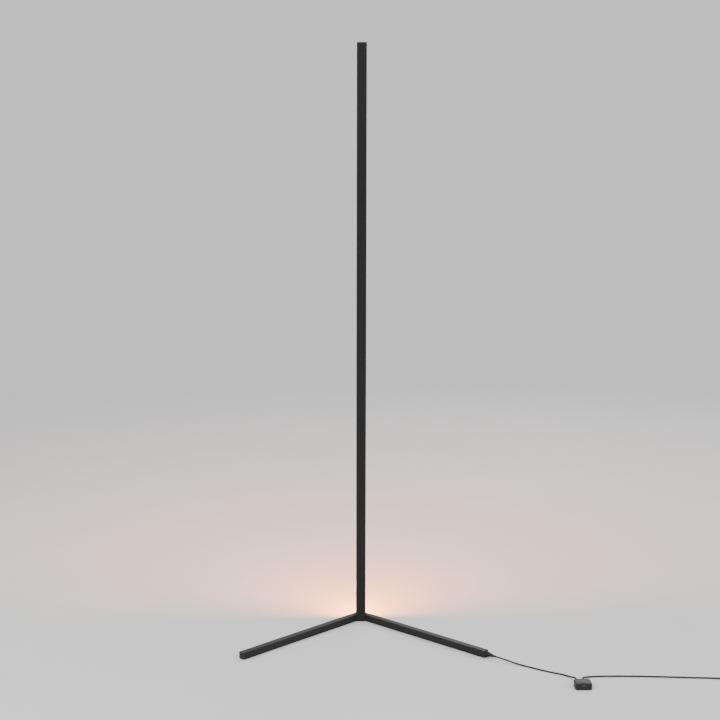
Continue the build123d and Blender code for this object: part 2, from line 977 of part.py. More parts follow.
def build():
    """Every node of the lamp by name."""
    nodes = {name: pole_section(i) for i, name in enumerate(section_names)}
    nodes.update({name: splice(i) for i, name in enumerate(splice_names)})
    nodes.update(
        pole_screws=pole_screws(),
        top_cap=top_cap(),
        light_diffuser=light_diffuser(),
        led_strip=led_strip(),
        led_chips=led_chips(),
        strip_connector=strip_connector(),
        corner_block=corner_block(),
        left_leg=leg(-1),
        right_leg=leg(1),
        left_end_cap=end_cap(-1),
        right_end_cap=end_cap(1),
        leg_screws=leg_screws(),
        corner_foot=corner_foot(),
        left_foot=leg_foot(-1),
        right_foot=leg_foot(1),
        leg_lead=leg_lead(),
        strain_relief=strain_relief(),
        lamp_cord=cord("lamp_cord", lamp_cord_points()),
        controller_base=controller_base(),
        controller_cover=controller_cover(),
        controller_board=controller_board(),
        board_chips=board_chips(),
        switch_body=switch_body(),
        switch_plunger=switch_plunger(),
        controller_button=controller_button(),
        receiver_window=receiver_window(),
        controller_screws=controller_screws(),
        inlet_gland=gland(0),
        outlet_gland=gland(1),
        supply_cord=cord("supply_cord", supply_points() + [lead_in_start()]),
        cord_coil=cord_coil(),
        cord_tie=cord_tie(),
        plug_lead=cord("plug_lead", plug_lead_points()),
        plug_body=plug_body(),
        plug_shell=plug_shell(),
        plug_tongue=plug_tongue(),
        plug_contacts=plug_contacts(),
    )
    return nodes


os.makedirs("parts", exist_ok=True)
for name, shape in build().items():
    solid = Compound(children=shape) if isinstance(shape, list) else shape
    export_step(solid, f"parts/{name}.step")
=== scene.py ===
import math

import bmesh
import bpy
from mathutils import Matrix, Vector


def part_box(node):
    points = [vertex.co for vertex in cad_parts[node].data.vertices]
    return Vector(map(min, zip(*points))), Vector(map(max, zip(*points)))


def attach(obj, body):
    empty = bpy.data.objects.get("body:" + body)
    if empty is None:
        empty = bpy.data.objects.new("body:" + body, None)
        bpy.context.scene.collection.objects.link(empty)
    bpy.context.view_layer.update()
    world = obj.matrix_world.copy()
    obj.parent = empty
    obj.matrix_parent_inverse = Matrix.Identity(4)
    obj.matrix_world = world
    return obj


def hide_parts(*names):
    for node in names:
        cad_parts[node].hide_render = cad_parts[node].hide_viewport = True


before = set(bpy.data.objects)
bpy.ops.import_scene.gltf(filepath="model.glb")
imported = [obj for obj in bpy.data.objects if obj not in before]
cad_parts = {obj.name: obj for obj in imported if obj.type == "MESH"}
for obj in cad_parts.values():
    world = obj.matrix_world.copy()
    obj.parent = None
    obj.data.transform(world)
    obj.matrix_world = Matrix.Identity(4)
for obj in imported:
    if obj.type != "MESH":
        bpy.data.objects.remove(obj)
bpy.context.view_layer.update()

bl_info = {
    "name": "Corner floor lamp",
    "version": (1, 0, 0),
    "blender": (4, 5, 0),
    "location": "View3D > Sidebar > Lamp",
    "description": "Dresses the corner floor lamp: its finishes, light, screws, leads and studio",
    "category": "Object",
}

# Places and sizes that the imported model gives, in metres
half_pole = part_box("top_cap")[1].x
pole_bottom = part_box("lower_pole")[0].z
pole_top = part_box("upper_pole")[1].z
joint_heights = [corner.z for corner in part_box("middle_pole")]
leg_low, leg_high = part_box("right_leg")
half_leg = (leg_high.z - leg_low.z) / 2
leg_start = Vector((half_pole, 0.0, (leg_low.z + leg_high.z) / 2))
leg_turn = math.radians(45.0)

# The body that every new piece moves with
main_body = "lamp"


# Sizes and colours that a user would change


def number_property(name, description, default, **limits):
    return bpy.props.FloatProperty(name=name, description=description, default=default, **limits)


def length_property(name, description, default):
    kind = {"min": 0.0, "precision": 5, "subtype": "DISTANCE", "unit": "LENGTH"}
    return number_property(name, description, default, **kind)


def angle_property(name, description, degrees):
    return number_property(name, description, math.radians(degrees), subtype="ANGLE", unit="ROTATION")


def power_property(name, description, default):
    return number_property(name, description, default, min=0.0, subtype="POWER", unit="POWER")


def count_property(name, description, default, least):
    return bpy.props.IntProperty(name=name, description=description, default=default, min=least)


def vector_property(name, description, default, **kind):
    return bpy.props.FloatVectorProperty(
        name=name, description=description, default=default, size=len(default), **kind
    )


def colour_property(name, description, default):
    return vector_property(name, description, default, min=0.0, max=1.0, subtype="COLOR")


def group_property(name, description, kind):
    return bpy.props.PointerProperty(name=name, description=description, type=kind)


class LampColours(bpy.types.PropertyGroup):
    """Colours of the lamp's finishes."""

    coat: colour_property("Black coat", "Anodised pole, painted legs and cast corner", (0.007, 0.007, 0.0075))
    # Lighter colour of the long corners: worn coat, and also a painted highlight along them
    worn_and_highlit: colour_property("Rubbed edge", "Corners where the coat is worn", (0.05, 0.05, 0.053))
    seam: colour_property("Seam", "Dark hairline where two pieces meet", (0.001, 0.001, 0.001))
    moulding: colour_property("Moulding", "Hard black plastic", (0.010, 0.010, 0.0105))
    rubber: colour_property("Rubber", "Soft black sleeves and feet", (0.009, 0.009, 0.009))
    jacket: colour_property("Lead jacket", "Skin of the leads", (0.009, 0.009, 0.0095))
    dust: colour_property("Dust", "Dust on faces that look up", (0.22, 0.21, 0.20))
    opal: colour_property("Opal cover", "Cover over the light, tinted by it", (0.10, 0.014, 0.003))
    glow: colour_property("Glow", "Colour of the lit cover", (1.0, 0.09, 0.004))
    cast: colour_property("Cast light", "Light on what stands round the lamp", (1.0, 0.28, 0.03))
    glow_strength: number_property("Glow strength", "How brightly the opal cover shines", 1.2, min=0.0)


class LeadSizes(bpy.types.PropertyGroup):
    """Sizes of the leads and of the coil that the supply lead is wound into."""

    diameter: length_property("Diameter", "Thickness of the leads", 0.0036)
    floor_height: length_property("Height on the floor", "Middle of a lead that lies on the floor", 0.0019)
    lamp_length: length_property("Lamp lead", "Length from the leg to the controller", 0.224)
    supply_length: length_property("Supply lead", "Length from the controller to the plug", 1.134)
    boot_run: length_property("Run from the boot", "Straight run out of the boot on the leg", 0.022)
    gland_run: length_property("Run from a gland", "Straight run out of the controller", 0.013)
    plug_run: length_property("Run to the plug", "Straight run into the plug", 0.013)
    coil_run_in: length_property("Run to the coil", "Straight run into the coil", 0.034)
    coil_run_out: length_property("Run from the coil", "Straight run out of the coil", 0.014)
    coil_radius: length_property("Coil radius", "Middle radius of the coil", 0.021)
    coil_pitch: length_property("Coil pitch", "Step from one turn to the next beside it", 0.005)
    coil_rise: length_property("Coil rise", "Step from one layer to the next above it", 0.0046)
    coil_floor: length_property("Coil height", "Middle of the lowest layer above the floor", 0.0032)
    coil_turns: number_property("Coil turns", "Turns of the coil", 5.25, min=1.0)
    climb_turns: number_property("Climb", "Turns in which the lead climbs to the next layer", 0.5, min=0.1)
    coil_layers: count_property("Coil layers", "Layers of the coil", 2, least=1)
    coil_start: angle_property("Coil start", "Angle at which the lead joins the coil", -90.0)
    coil_middle: vector_property(
        "Coil middle", "Place of the coil on the floor", (0.836, -0.390), subtype="XYZ", unit="LENGTH"
    )
    points_per_turn: count_property("Points per turn", "Points that shape one turn of the coil", 16, least=12)


class TieSizes(bpy.types.PropertyGroup):
    """Sizes of the woven strap round the coil."""

    width: length_property("Width", "Width of the strap", 0.007)
    thickness: length_property("Thickness", "Thickness of the strap", 0.0009)
    gap: length_property("Gap", "Room between the turns and the strap", 0.0004)
    corner: length_property("Corner", "Radius of the strap's bends", 0.0027)
    tail: length_property("Tail", "Length of the end that lies over the strap", 0.009)
    tail_lift: length_property("Tail lift", "How far the end would lift over its whole length", 0.0006)
    turn: angle_property("Place round the coil", "Angle at which the strap crosses the coil", 115.0)


class LightSizes(bpy.types.PropertyGroup):
    """Sizes of the light sources on the strip behind the opal cover."""

    pitch: length_property("Pitch", "Step from one light source to the next", 1.0 / 30)
    size: length_property("Package", "Width of a light source", 0.005)
    height: length_property("Package height", "How far a light source stands off the strip", 0.0015)
    lens_radius: length_property("Lens radius", "Radius of the round window of a light source", 0.0019)
    lens_height: length_property("Lens height", "How far the window stands proud", 0.0001)
    resistor_size: length_property("Resistor", "Width of the resistor beside each light source", 0.0012)
    resistor_height: length_property("Resistor height", "Height of a resistor", 0.0006)


class BootSizes(bpy.types.PropertyGroup):
    """Sizes of the rubber boots where the leads leave the leg and the controller."""

    leg_reach: length_property("Leg reach", "From the corner to the end of the leg", 0.380)
    leg_boot_length: length_property("Leg boot length", "Length of the boot on the leg", 0.026)
    leg_boot_radius: length_property("Leg boot radius", "Radius of that boot where it meets the leg", 0.0074)
    tip_radius: length_property("Tip radius", "Radius of a boot where the lead leaves it", 0.0023)
    leg_grooves: count_property("Leg boot grooves", "Grooves of the boot on the leg", 3, least=0)
    gland_grooves: count_property("Gland grooves", "Grooves of a boot on the controller", 2, least=0)
    groove_share: number_property(
        "Groove depth",
        "Depth of a groove as a share of the radius there",
        0.17,
        min=0.0,
        max=0.5,
        subtype="FACTOR",
    )


class ScrewSizes(bpy.types.PropertyGroup):
    """Places of the cross-slotted screws."""

    pole_inset: length_property("Pole inset", "From the end of a pole length to its screws", 0.020)
    pole_spread: length_property("Pole spread", "From the pole's middle to its screws", 0.0074)
    leg_first: length_property("First leg screw", "From the corner to the first screw of a leg", 0.016)
    leg_step: length_property("Leg step", "From the first screw of a leg to the second", 0.020)


class StudioSizes(bpy.types.PropertyGroup):
    """Camera, floor and lights."""

    lens: number_property("Lens", "Focal length", 70.0, min=1.0, subtype="DISTANCE_CAMERA", unit="CAMERA")
    camera_place: vector_property(
        "Camera", "Place of the camera", (-0.0985, -3.3385, 1.137), subtype="TRANSLATION", unit="LENGTH"
    )
    camera_turn: vector_property(
        "Camera turn",
        "Tilt, turn round the upright and roll of the camera",
        (math.radians(81.72), math.radians(-1.64), math.radians(0.11)),
        subtype="XYZ",
        unit="ROTATION",
    )
    floor_size: length_property("Floor", "Width of the floor", 24.0)
    fade_start: length_property("Fade start", "Where the floor begins to fade into the surroundings", 1.6)
    fade_end: length_property("Fade end", "Where the floor has faded into the surroundings", 4.5)
    floor_colour: colour_property("Floor colour", "Colour of the pale floor", (0.72, 0.71, 0.70))
    sky_colour: colour_property("Surroundings", "Colour of the studio round the lamp", (0.82, 0.82, 0.83))
    sky_strength: number_property(
        "Surroundings strength", "Brightness of the studio round the lamp", 1.0, min=0.0
    )
    key_power: power_property("Key light", "Large soft light on the left", 140.0)
    fill_power: power_property("Fill light", "Large soft light on the right", 55.0)
    rim_power: power_property("Rim light", "Soft light behind the lamp", 50.0)
    glow_power: power_property("Own light", "Light that the lamp sends out behind it", 26.0)


class CornerLamp(bpy.types.PropertyGroup):
    """All of the lamp's sizes and colours."""

    colours: group_property("Colours", "Finishes of the lamp", LampColours)
    leads: group_property("Leads", "Sizes of the leads", LeadSizes)
    tie: group_property("Tie", "Sizes of the coil's strap", TieSizes)
    light: group_property("Light", "Sizes of the light sources", LightSizes)
    boots: group_property("Boots", "Sizes of the rubber boots", BootSizes)
    screws: group_property("Screws", "Places of the screws", ScrewSizes)
    studio: group_property("Studio", "Camera, floor and lights", StudioSizes)


# Node helpers


def new_node(tree, kind, inputs=None, **settings):
    """A node with its settings made and its inputs linked to a socket or set to a value."""
    node = tree.nodes.new(kind)
    for name, value in settings.items():
        setattr(node, name, value)
    fill_inputs(tree, node, inputs or {})
    return node


def output_of(tree, kind, inputs=None, **settings):
    """The first output of a new node."""
    return new_node(tree, kind, inputs, **settings).outputs[0]


def fill_inputs(tree, node, inputs):
    for key, value in inputs.items():
        if isinstance(value, bpy.types.NodeSocket):
            tree.links.new(value, node.inputs[key])
        else:
            node.inputs[key].default_value = value


def new_tree(name, kind, inputs, outputs):
    """An empty node group with named sockets. Gives the group, its input sockets and its output node."""
    tree = bpy.data.node_groups.new(name, kind)
    for socket, socket_kind, default in inputs:
        made = tree.interface.new_socket(socket, in_out="INPUT", socket_type=f"NodeSocket{socket_kind}")
        if default is not None:
            made.default_value = default
    for socket, socket_kind in outputs:
        tree.interface.new_socket(socket, in_out="OUTPUT", socket_type=f"NodeSocket{socket_kind}")
    return tree, tree.nodes.new("NodeGroupInput").outputs, tree.nodes.new("NodeGroupOutput")


def maths(tree, operation, *values):
    return output_of(tree, "ShaderNodeMath", dict(enumerate(values)), operation=operation)


def unit_wave(tree, wave):
    """A wave from -1 to 1 laid between 0 and 1."""
    return maths(tree, "MULTIPLY_ADD", wave, 0.5, 0.5)


def ramp(tree, value, low, high):
    """A mask that goes from 0 to 1 while a value goes from low to high."""
    return output_of(tree, "ShaderNodeMapRange", {"Value": value, "From Min": low, "From Max": high})


def noise(tree, place, scale, detail):
    inputs = {"Vector": place, "Scale": scale, "Detail": detail, "Roughness": 0.6}
    return output_of(tree, "ShaderNodeTexNoise", inputs)


# Effects that several finishes share


def effect_tree(name, inputs, *results):
    """An empty shader group that gives numbers."""
    return new_tree(name, "ShaderNodeTree", inputs, [(result, "Float") for result in results])


def surface_grain_group():
    """Fine relief of a surface, and a tone around 1 that follows it."""
    noise_middle = 0.5
    tone_gain = 4.0
    inputs = [
        ("Place", "Vector", None),
        ("Stretch", "Vector", (1.0, 1.0, 1.0)),
        ("Scale", "Float", 1000.0),
        ("Contrast", "Float", 0.2),
    ]
    tree, given, result = effect_tree("surface_grain", inputs, "Height", "Tone")
    factors = {0: given["Place"], 1: given["Stretch"]}
    stretched = output_of(tree, "ShaderNodeVectorMath", factors, operation="MULTIPLY")
    height = noise(tree, stretched, given["Scale"], detail=3.0)
    swing = maths(tree, "MULTIPLY", maths(tree, "SUBTRACT", height, noise_middle), given["Contrast"])
    tone = maths(tree, "MULTIPLY_ADD", swing, tone_gain, 1.0)
    fill_inputs(tree, result, {"Height": height, "Tone": tone})
    return tree


def corner_wear_and_highlight_group():
    """Mask of the long corners of a square bar, worn and lightened as a painted highlight, from the two
    coordinates across it.
    """
    inputs = [
        ("Place", "Vector", None),
        ("Across", "Float", 0.0),
        ("Up", "Float", 0.0),
        ("Half Size", "Float", 0.01),
        ("Width", "Float", 0.001),
    ]
    tree, given, result = effect_tree("corner_rub", inputs, "Mask")
    start = maths(tree, "SUBTRACT", given["Half Size"], given["Width"])
    sides = [
        ramp(tree, maths(tree, "ABSOLUTE", given[key]), start, given["Half Size"])
        for key in ("Across", "Up")
    ]
    patches = ramp(tree, noise(tree, given["Place"], scale=70.0, detail=4.0), low=0.42, high=0.72)
    mask = maths(tree, "MULTIPLY", maths(tree, "MULTIPLY", *sides), patches)
    fill_inputs(tree, result, {"Mask": mask})
    return tree


def settled_dust_group():
    """Mask of the dust that lies in patches on faces that look up."""
    patch_weight = 0.6
    speck_weight = 0.7
    inputs = [("Place", "Vector", None), ("Normal", "Vector", None), ("Amount", "Float", 0.1)]
    tree, given, result = effect_tree("settled_dust", inputs, "Mask")
    upward = new_node(tree, "ShaderNodeSeparateXYZ", {"Vector": given["Normal"]}).outputs["Z"]
    patches = ramp(tree, noise(tree, given["Place"], scale=45.0, detail=5.0), low=0.35, high=0.75)
    specks = ramp(tree, noise(tree, given["Place"], scale=1500.0, detail=1.0), low=0.50, high=0.66)
    lying = maths(tree, "MULTIPLY", ramp(tree, upward, low=0.5, high=0.95), given["Amount"])
    clouds = maths(tree, "MULTIPLY", patches, patch_weight)
    cover = maths(tree, "MULTIPLY_ADD", specks, speck_weight, clouds)
    fill_inputs(tree, result, {"Mask": maths(tree, "MULTIPLY", lying, cover)})
    return tree


effect_makers = {
    "surface_grain": surface_grain_group,
    "corner_rub": corner_wear_and_highlight_group,
    "settled_dust": settled_dust_group,
}


class Finish:
    """A material while it is made: its nodes, its shader and the piece's own coordinates."""

    def __init__(self, name, specular=0.5, others=None):
        self.material = bpy.data.materials.new(name)
        self.material.use_nodes = True
        self.tree = self.material.node_tree
        self.tree.nodes.clear()
        values = {"Specular IOR Level": specular, **(others or {})}
        self.shader = new_node(self.tree, "ShaderNodeBsdfPrincipled", values)
        new_node(self.tree, "ShaderNodeOutputMaterial", {"Surface": self.shader.outputs["BSDF"]})
        self.place = new_node(self.tree, "ShaderNodeTexCoord").outputs["Object"]

    def effect(self, name, inputs):
        """A shared effect, whose group is built when a finish first needs it."""
        node = self.tree.nodes.new("ShaderNodeGroup")
        node.node_tree = bpy.data.node_groups.get(name) or effect_makers[name]()
        fill_inputs(self.tree, node, inputs)
        return node.outputs

    def turned(self, centre, turn):
        """The piece's coordinates about a centre, turned round the upright."""
        inputs = {"Vector": self.place, "Location": centre, "Rotation": (0.0, 0.0, turn)}
        return output_of(self.tree, "ShaderNodeMapping", inputs, vector_type="TEXTURE")

    def apart(self, place):
        return new_node(self.tree, "ShaderNodeSeparateXYZ", {"Vector": place}).outputs

    def grain(self, scale, contrast, stretch=(1.0, 1.0, 1.0), place=None):
        inputs = {"Place": place or self.place, "Stretch": stretch, "Scale": scale, "Contrast": contrast}
        return self.effect("surface_grain", inputs)

    def worn_and_highlit_corners(self, across, up, half_size, width):
        """Mask of the corners of a square bar, worn and lightened as a painted highlight."""
        inputs = {"Place": self.place, "Across": across, "Up": up, "Half Size": half_size, "Width": width}
        return self.effect("corner_rub", inputs)["Mask"]

    def line(self, value, middle, half_width):
        """Mask of the places where a value is within half a width of a middle."""
        return maths(self.tree, "COMPARE", value, middle, half_width)

    def tinted(self, colour, tone):
        """A colour made lighter and darker by a tone around 1."""
        return output_of(self.tree, "ShaderNodeVectorMath", {0: colour, "Scale": tone}, operation="SCALE")

    def mixed(self, mask, below, above):
        """One colour over another where the mask is 1."""
        node = new_node(self.tree, "ShaderNodeMix", {0: mask}, data_type="RGBA")
        colours = {6: below, 7: above}
        for key, colour in colours.items():
            if not isinstance(colour, bpy.types.NodeSocket):
                colours[key] = (*colour, 1.0)
        fill_inputs(self.tree, node, colours)
        return node.outputs[2]

    def dusted(self, colour, dust, amount):
        """A colour under the dust that lies on faces that look up."""
        if amount == 0:
            return colour
        normal = new_node(self.tree, "ShaderNodeNewGeometry").outputs["Normal"]
        inputs = {"Place": self.place, "Normal": normal, "Amount": amount}
        return self.mixed(self.effect("settled_dust", inputs)["Mask"], colour, dust)

    def spread(self, value, low, high):
        """A value from 0 to 1 laid between two limits."""
        return output_of(self.tree, "ShaderNodeMapRange", {"Value": value, "To Min": low, "To Max": high})

    def wave(self, value, pitch):
        """The angle that a value has run through, at one full turn for each pitch."""
        return maths(self.tree, "MULTIPLY", value, 2 * math.pi / pitch)

    def done(self, colour, rough, relief=None, glow=None):
        """The material, with a rough value and its two limits, and a relief's height and its depth."""
        sockets = {"Base Color": colour, "Roughness": self.spread(*rough)}
        if relief is not None:
            height, depth = relief
            inputs = {"Height": height, "Distance": depth, "Strength": 1.0}
            sockets["Normal"] = output_of(self.tree, "ShaderNodeBump", inputs)
        if glow is not None:
            sockets["Emission Color"] = glow
        fill_inputs(self.tree, self.shader, sockets)
        return self.material


# Finishes


def black_anodised(colours):
    """Satin black extrusion with die lines along it, worn corners lightened as a painted highlight, and a
    hairline where lengths meet.
    """
    hairline = 0.00025
    finish = Finish("black_anodised", specular=0.28)
    die_lines = finish.grain(scale=1100.0, contrast=0.45, stretch=(1.0, 1.0, 0.002))
    clouds = finish.grain(scale=16.0, contrast=0.10, stretch=(1.0, 1.0, 0.4))
    x, y, z = finish.apart(finish.place)
    colour = finish.tinted(colours.coat, die_lines["Tone"])
    colour = finish.mixed(finish.worn_and_highlit_corners(x, y, half_pole, width=0.0009), colour, colours.worn_and_highlit)
    for height in joint_heights:
        colour = finish.mixed(finish.line(z, height, hairline), colour, colours.seam)
    return finish.done(colour, rough=(clouds["Height"], 0.26, 0.58), relief=(die_lines["Height"], 0.00003))


def black_paint(colours, side):
    """Powder coat on a leg: fine orange peel, dust on top and long corners worn at the edge and lightened as
    a painted highlight.
    """
    finish = Finish("black_paint_right" if side > 0 else "black_paint_left", specular=0.32)
    centre = (side * leg_start.x, leg_start.y, leg_start.z)
    along_leg = finish.turned(centre, -side * leg_turn)
    _, across, up = finish.apart(along_leg)
    peel = finish.grain(scale=1500.0, contrast=0.16)
    streaks = finish.grain(scale=60.0, contrast=0.10, stretch=(0.15, 1.0, 1.0), place=along_leg)
    colour = finish.tinted(colours.coat, peel["Tone"])
    colour = finish.mixed(finish.worn_and_highlit_corners(across, up, half_leg, width=0.0010), colour, colours.worn_and_highlit)
    colour = finish.dusted(colour, colours.dust, amount=0.06)
    return finish.done(colour, rough=(streaks["Height"], 0.40, 0.58), relief=(peel["Height"], 0.00006))


def black_casting(colours):
    """Painted casting: a coarser skin than the legs, with upright corners worn and lightened as a painted
    highlight.
    """
    finish = Finish("black_casting", specular=0.32)
    skin = finish.grain(scale=850.0, contrast=0.25)
    x, y, _ = finish.apart(finish.place)
    colour = finish.tinted(colours.coat, skin["Tone"])
    colour = finish.mixed(finish.worn_and_highlit_corners(x, y, half_pole, width=0.0010), colour, colours.worn_and_highlit)
    return finish.done(colour, rough=(skin["Height"], 0.42, 0.66), relief=(skin["Height"], 0.0001))


def black_moulding(name, colours, scale, rough, dust=0.0, seam_height=None):
    """Hard plastic with the fine grain of its mould, between two limits of roughness."""
    seam_half_width = 0.00014
    finish = Finish(name, specular=0.36)
    grain = finish.grain(scale, contrast=0.22)
    handled = finish.grain(scale=90.0, contrast=0.15)
    colour = finish.tinted(colours.moulding, grain["Tone"])
    colour = finish.dusted(colour, colours.dust, dust)
    if seam_height is not None:
        _, _, z = finish.apart(finish.place)
        colour = finish.mixed(finish.line(z, seam_height, seam_half_width), colour, colours.seam)
    return finish.done(colour, rough=(handled["Height"], *rough), relief=(grain["Height"], 0.00005))


def soft_rubber(name, colours, rough, dust=0.0):
    """Matt rubber, a little cloudy, with a dry skin."""
    finish = Finish(name, specular=0.28)
    skin = finish.grain(scale=700.0, contrast=0.20)
    bloom = finish.grain(scale=55.0, contrast=0.25)
    colour = finish.tinted(colours.rubber, bloom["Tone"])
    colour = finish.dusted(colour, colours.dust, dust)
    return finish.done(colour, rough=(skin["Height"], *rough), relief=(skin["Height"], 0.00006))


def lead_jacket(colours):
    """Smooth skin of a lead, with a slight ripple along it and dust on top. All leads share it."""
    name = "lead_jacket"
    if name in bpy.data.materials:
        return bpy.data.materials[name]
    finish = Finish(name, specular=0.36)
    ripple = finish.grain(scale=260.0, contrast=0.14)
    skin = finish.grain(scale=2400.0, contrast=0.12)
    colour = finish.tinted(colours.jacket, skin["Tone"])
    colour = finish.dusted(colour, colours.dust, amount=0.07)
    return finish.done(colour, rough=(ripple["Height"], 0.32, 0.52), relief=(ripple["Height"], 0.00008))


def first_light(light):
    """Height of the lowest light source's middle."""
    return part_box("led_chips")[0].z + light.size / 2


def opal_cover(colours, light):
    """Milky cover lit from behind: a little brighter over each light source and along its middle."""
    dark_edge = half_pole * 1.2
    finish = Finish("opal_cover", specular=0.2, others={"Emission Strength": colours.glow_strength})
    tree = finish.tree
    x, _, z = finish.apart(finish.place)
    phase = finish.wave(maths(tree, "SUBTRACT", z, first_light(light)), light.pitch)
    beat = finish.spread(unit_wave(tree, maths(tree, "COSINE", phase)), low=0.86, high=1.0)
    middle = ramp(tree, maths(tree, "ABSOLUTE", x), low=dark_edge, high=0.0)
    milk = finish.grain(scale=420.0, contrast=0.03)
    bright = maths(tree, "MULTIPLY", beat, finish.spread(middle, low=0.72, high=1.05))
    bright = maths(tree, "MULTIPLY", bright, milk["Tone"])
    colour = finish.tinted(colours.opal, milk["Tone"])
    glow = finish.tinted(colours.glow, bright)
    return finish.done(colour, rough=(milk["Height"], 0.30, 0.42), glow=glow)


def strip_film(light):
    """White film of the strip, with copper pads where it may be cut between light sources."""
    white = (0.78, 0.78, 0.76)
    copper = (0.62, 0.30, 0.14)
    pad_half_length = 0.0016
    pad_half_width = 0.0008
    pad_fold = 0.0025
    pad_place = 0.0012
    finish = Finish("strip_film")
    tree = finish.tree
    x, _, z = finish.apart(finish.place)
    above_cut = maths(tree, "ADD", maths(tree, "SUBTRACT", z, first_light(light)), light.pitch * 1.5)
    along = maths(tree, "MODULO", above_cut, light.pitch)
    cut = finish.line(along, 0.0, pad_half_length)
    rows = finish.line(maths(tree, "PINGPONG", x, pad_fold), pad_place, pad_half_width)
    mottle = finish.grain(scale=300.0, contrast=0.04)
    colour = finish.tinted(white, mottle["Tone"])
    colour = finish.mixed(maths(tree, "MULTIPLY", cut, rows), colour, copper)
    return finish.done(colour, rough=(mottle["Height"], 0.35, 0.5))


def light_window(colours):
    """Yellow filling behind the round window of a light source, lit."""
    yellow = (0.85, 0.62, 0.16)
    finish = Finish("light_window", others={"Emission Strength": colours.glow_strength})
    speckle = finish.grain(scale=2500.0, contrast=0.12)
    colour = finish.tinted(yellow, speckle["Tone"])
    glow = finish.tinted(colours.glow, speckle["Tone"])
    return finish.done(colour, rough=(speckle["Height"], 0.25, 0.4), glow=glow)


def pale_plastic(name, base):
    """Pale moulded plastic with a faint grain."""
    finish = Finish(name)
    grain = finish.grain(scale=1600.0, contrast=0.06)
    colour = finish.tinted(base, grain["Tone"])
    return finish.done(colour, rough=(grain["Height"], 0.36, 0.52), relief=(grain["Height"], 0.00003))


def drawn_metal(name, base, rough, stretch=(1.0, 1.0, 1.0)):
    """Bare metal with the lines that drawing or rolling left in it."""
    finish = Finish(name, others={"Metallic": 1.0})
    lines = finish.grain(scale=1800.0, contrast=0.14, stretch=stretch)
    blotches = finish.grain(scale=80.0, contrast=0.12)
    colour = finish.tinted(base, lines["Tone"])
    return finish.done(colour, rough=(blotches["Height"], *rough), relief=(lines["Height"], 0.00001))


def circuit_board():
    """Green board with tracks under its mask."""
    mask_green = (0.02, 0.13, 0.05)
    track_green = (0.05, 0.24, 0.10)
    finish = Finish("circuit_board")
    inputs = {"Vector": finish.place, "Scale": 420.0}
    edges = output_of(finish.tree, "ShaderNodeTexVoronoi", inputs, feature="DISTANCE_TO_EDGE")
    tracks = ramp(finish.tree, edges, low=0.10, high=0.06)
    mottle = finish.grain(scale=500.0, contrast=0.10)
    colour = finish.tinted(mask_green, mottle["Tone"])
    colour = finish.mixed(tracks, colour, track_green)
    return finish.done(colour, rough=(mottle["Height"], 0.28, 0.45))


def receiver_plastic():
    """Dark, glossy window that lets only the remote's signal through."""
    smoke = (0.007, 0.0035, 0.004)
    gloss = {"Coat Weight": 0.4, "Coat Roughness": 0.08}
    finish = Finish("receiver_plastic", specular=0.6, others=gloss)
    depth = finish.grain(scale=350.0, contrast=0.20)
    colour = finish.tinted(smoke, depth["Tone"])
    return finish.done(colour, rough=(depth["Height"], 0.10, 0.18))


def woven_strap(colours, tie, centre):
    """Black strap woven of crossing threads, seen in the strap's own directions."""
    thread = 0.00045
    cloth = {"Sheen Weight": 0.3, "Sheen Roughness": 0.5}
    finish = Finish("woven_strap", specular=0.3, others=cloth)
    tree = finish.tree
    x, y, z = finish.apart(finish.turned(centre, tie.turn))
    across = maths(tree, "SINE", finish.wave(y, thread))
    around = maths(tree, "SINE", finish.wave(maths(tree, "ADD", x, z), thread))
    weave = unit_wave(tree, maths(tree, "MULTIPLY", across, around))
    fuzz = finish.grain(scale=1800.0, contrast=0.25)
    colour = finish.tinted(colours.jacket, finish.spread(weave, low=0.6, high=2.2))
    colour = finish.dusted(colour, colours.dust, amount=0.10)
    return finish.done(colour, rough=(fuzz["Height"], 0.68, 0.9), relief=(weave, 0.00015))


# Helpers that make and place pieces


def linked(name, data):
    piece = bpy.data.objects.new(name, data)
    bpy.context.scene.collection.objects.link(piece)
    return piece


def coat(material, *nodes):
    """Gives CAD pieces a finish in every slot of theirs."""
    for node in nodes:
        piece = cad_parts[node]
        piece.data.materials.clear()
        piece.data.materials.append(material)


def add_piece(piece, slot, *nodes):
    """A new piece that moves with the lamp and stands for CAD nodes."""
    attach(piece, main_body)
    if nodes:
        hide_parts(*nodes)


def run_tree(tree, name, places, values):
    """Runs a geometry node tree on loose points and keeps the result as a plain mesh."""
    loose = bpy.data.meshes.new(name)
    loose.from_pydata(places, [], [])
    piece = linked(name, loose)
    modifier = piece.modifiers.new(tree.name, "NODES")
    modifier.node_group = tree
    sockets = [item for item in tree.interface.items_tree if item.in_out == "INPUT"]
    for socket in sockets:
        if socket.name in values:
            modifier[socket.identifier] = values[socket.name]
    bpy.context.view_layer.update()
    evaluated = piece.evaluated_get(bpy.context.evaluated_depsgraph_get())
    piece.data = bpy.data.meshes.new_from_object(evaluated)
    piece.modifiers.clear()
    piece.data.name = name
    return piece


# Geometry node trees


def shape_tree(name, sizes):
    """An empty geometry tree: its sizes come between the geometry and the material."""
    inputs = [("Geometry", "Geometry", None), *sizes, ("Material", "Material", None)]
    return new_tree(name, "GeometryNodeTree", inputs, [("Geometry", "Geometry")])


def moved(tree, geometry, **inputs):
    """A shape after it is moved or turned."""
    return output_of(tree, "GeometryNodeTransform", {"Geometry": geometry, **inputs})


def along_z(tree, length):
    return output_of(tree, "ShaderNodeCombineXYZ", {"Z": length})


def copied(tree, given, shape, **inputs):
    """Copies of a shape on the points that the tree is run on."""
    places = {"Points": given["Geometry"], "Instance": shape, **inputs}
    return output_of(tree, "GeometryNodeInstanceOnPoints", places)


def close_tree(tree, given, result, copies):
    """Ends a tree: the copies become real and take the material."""
    real = output_of(tree, "GeometryNodeRealizeInstances", {"Geometry": copies})
    painted = output_of(tree, "GeometryNodeSetMaterial", {"Geometry": real, "Material": given["Material"]})
    fill_inputs(tree, result, {"Geometry": painted})
    return tree


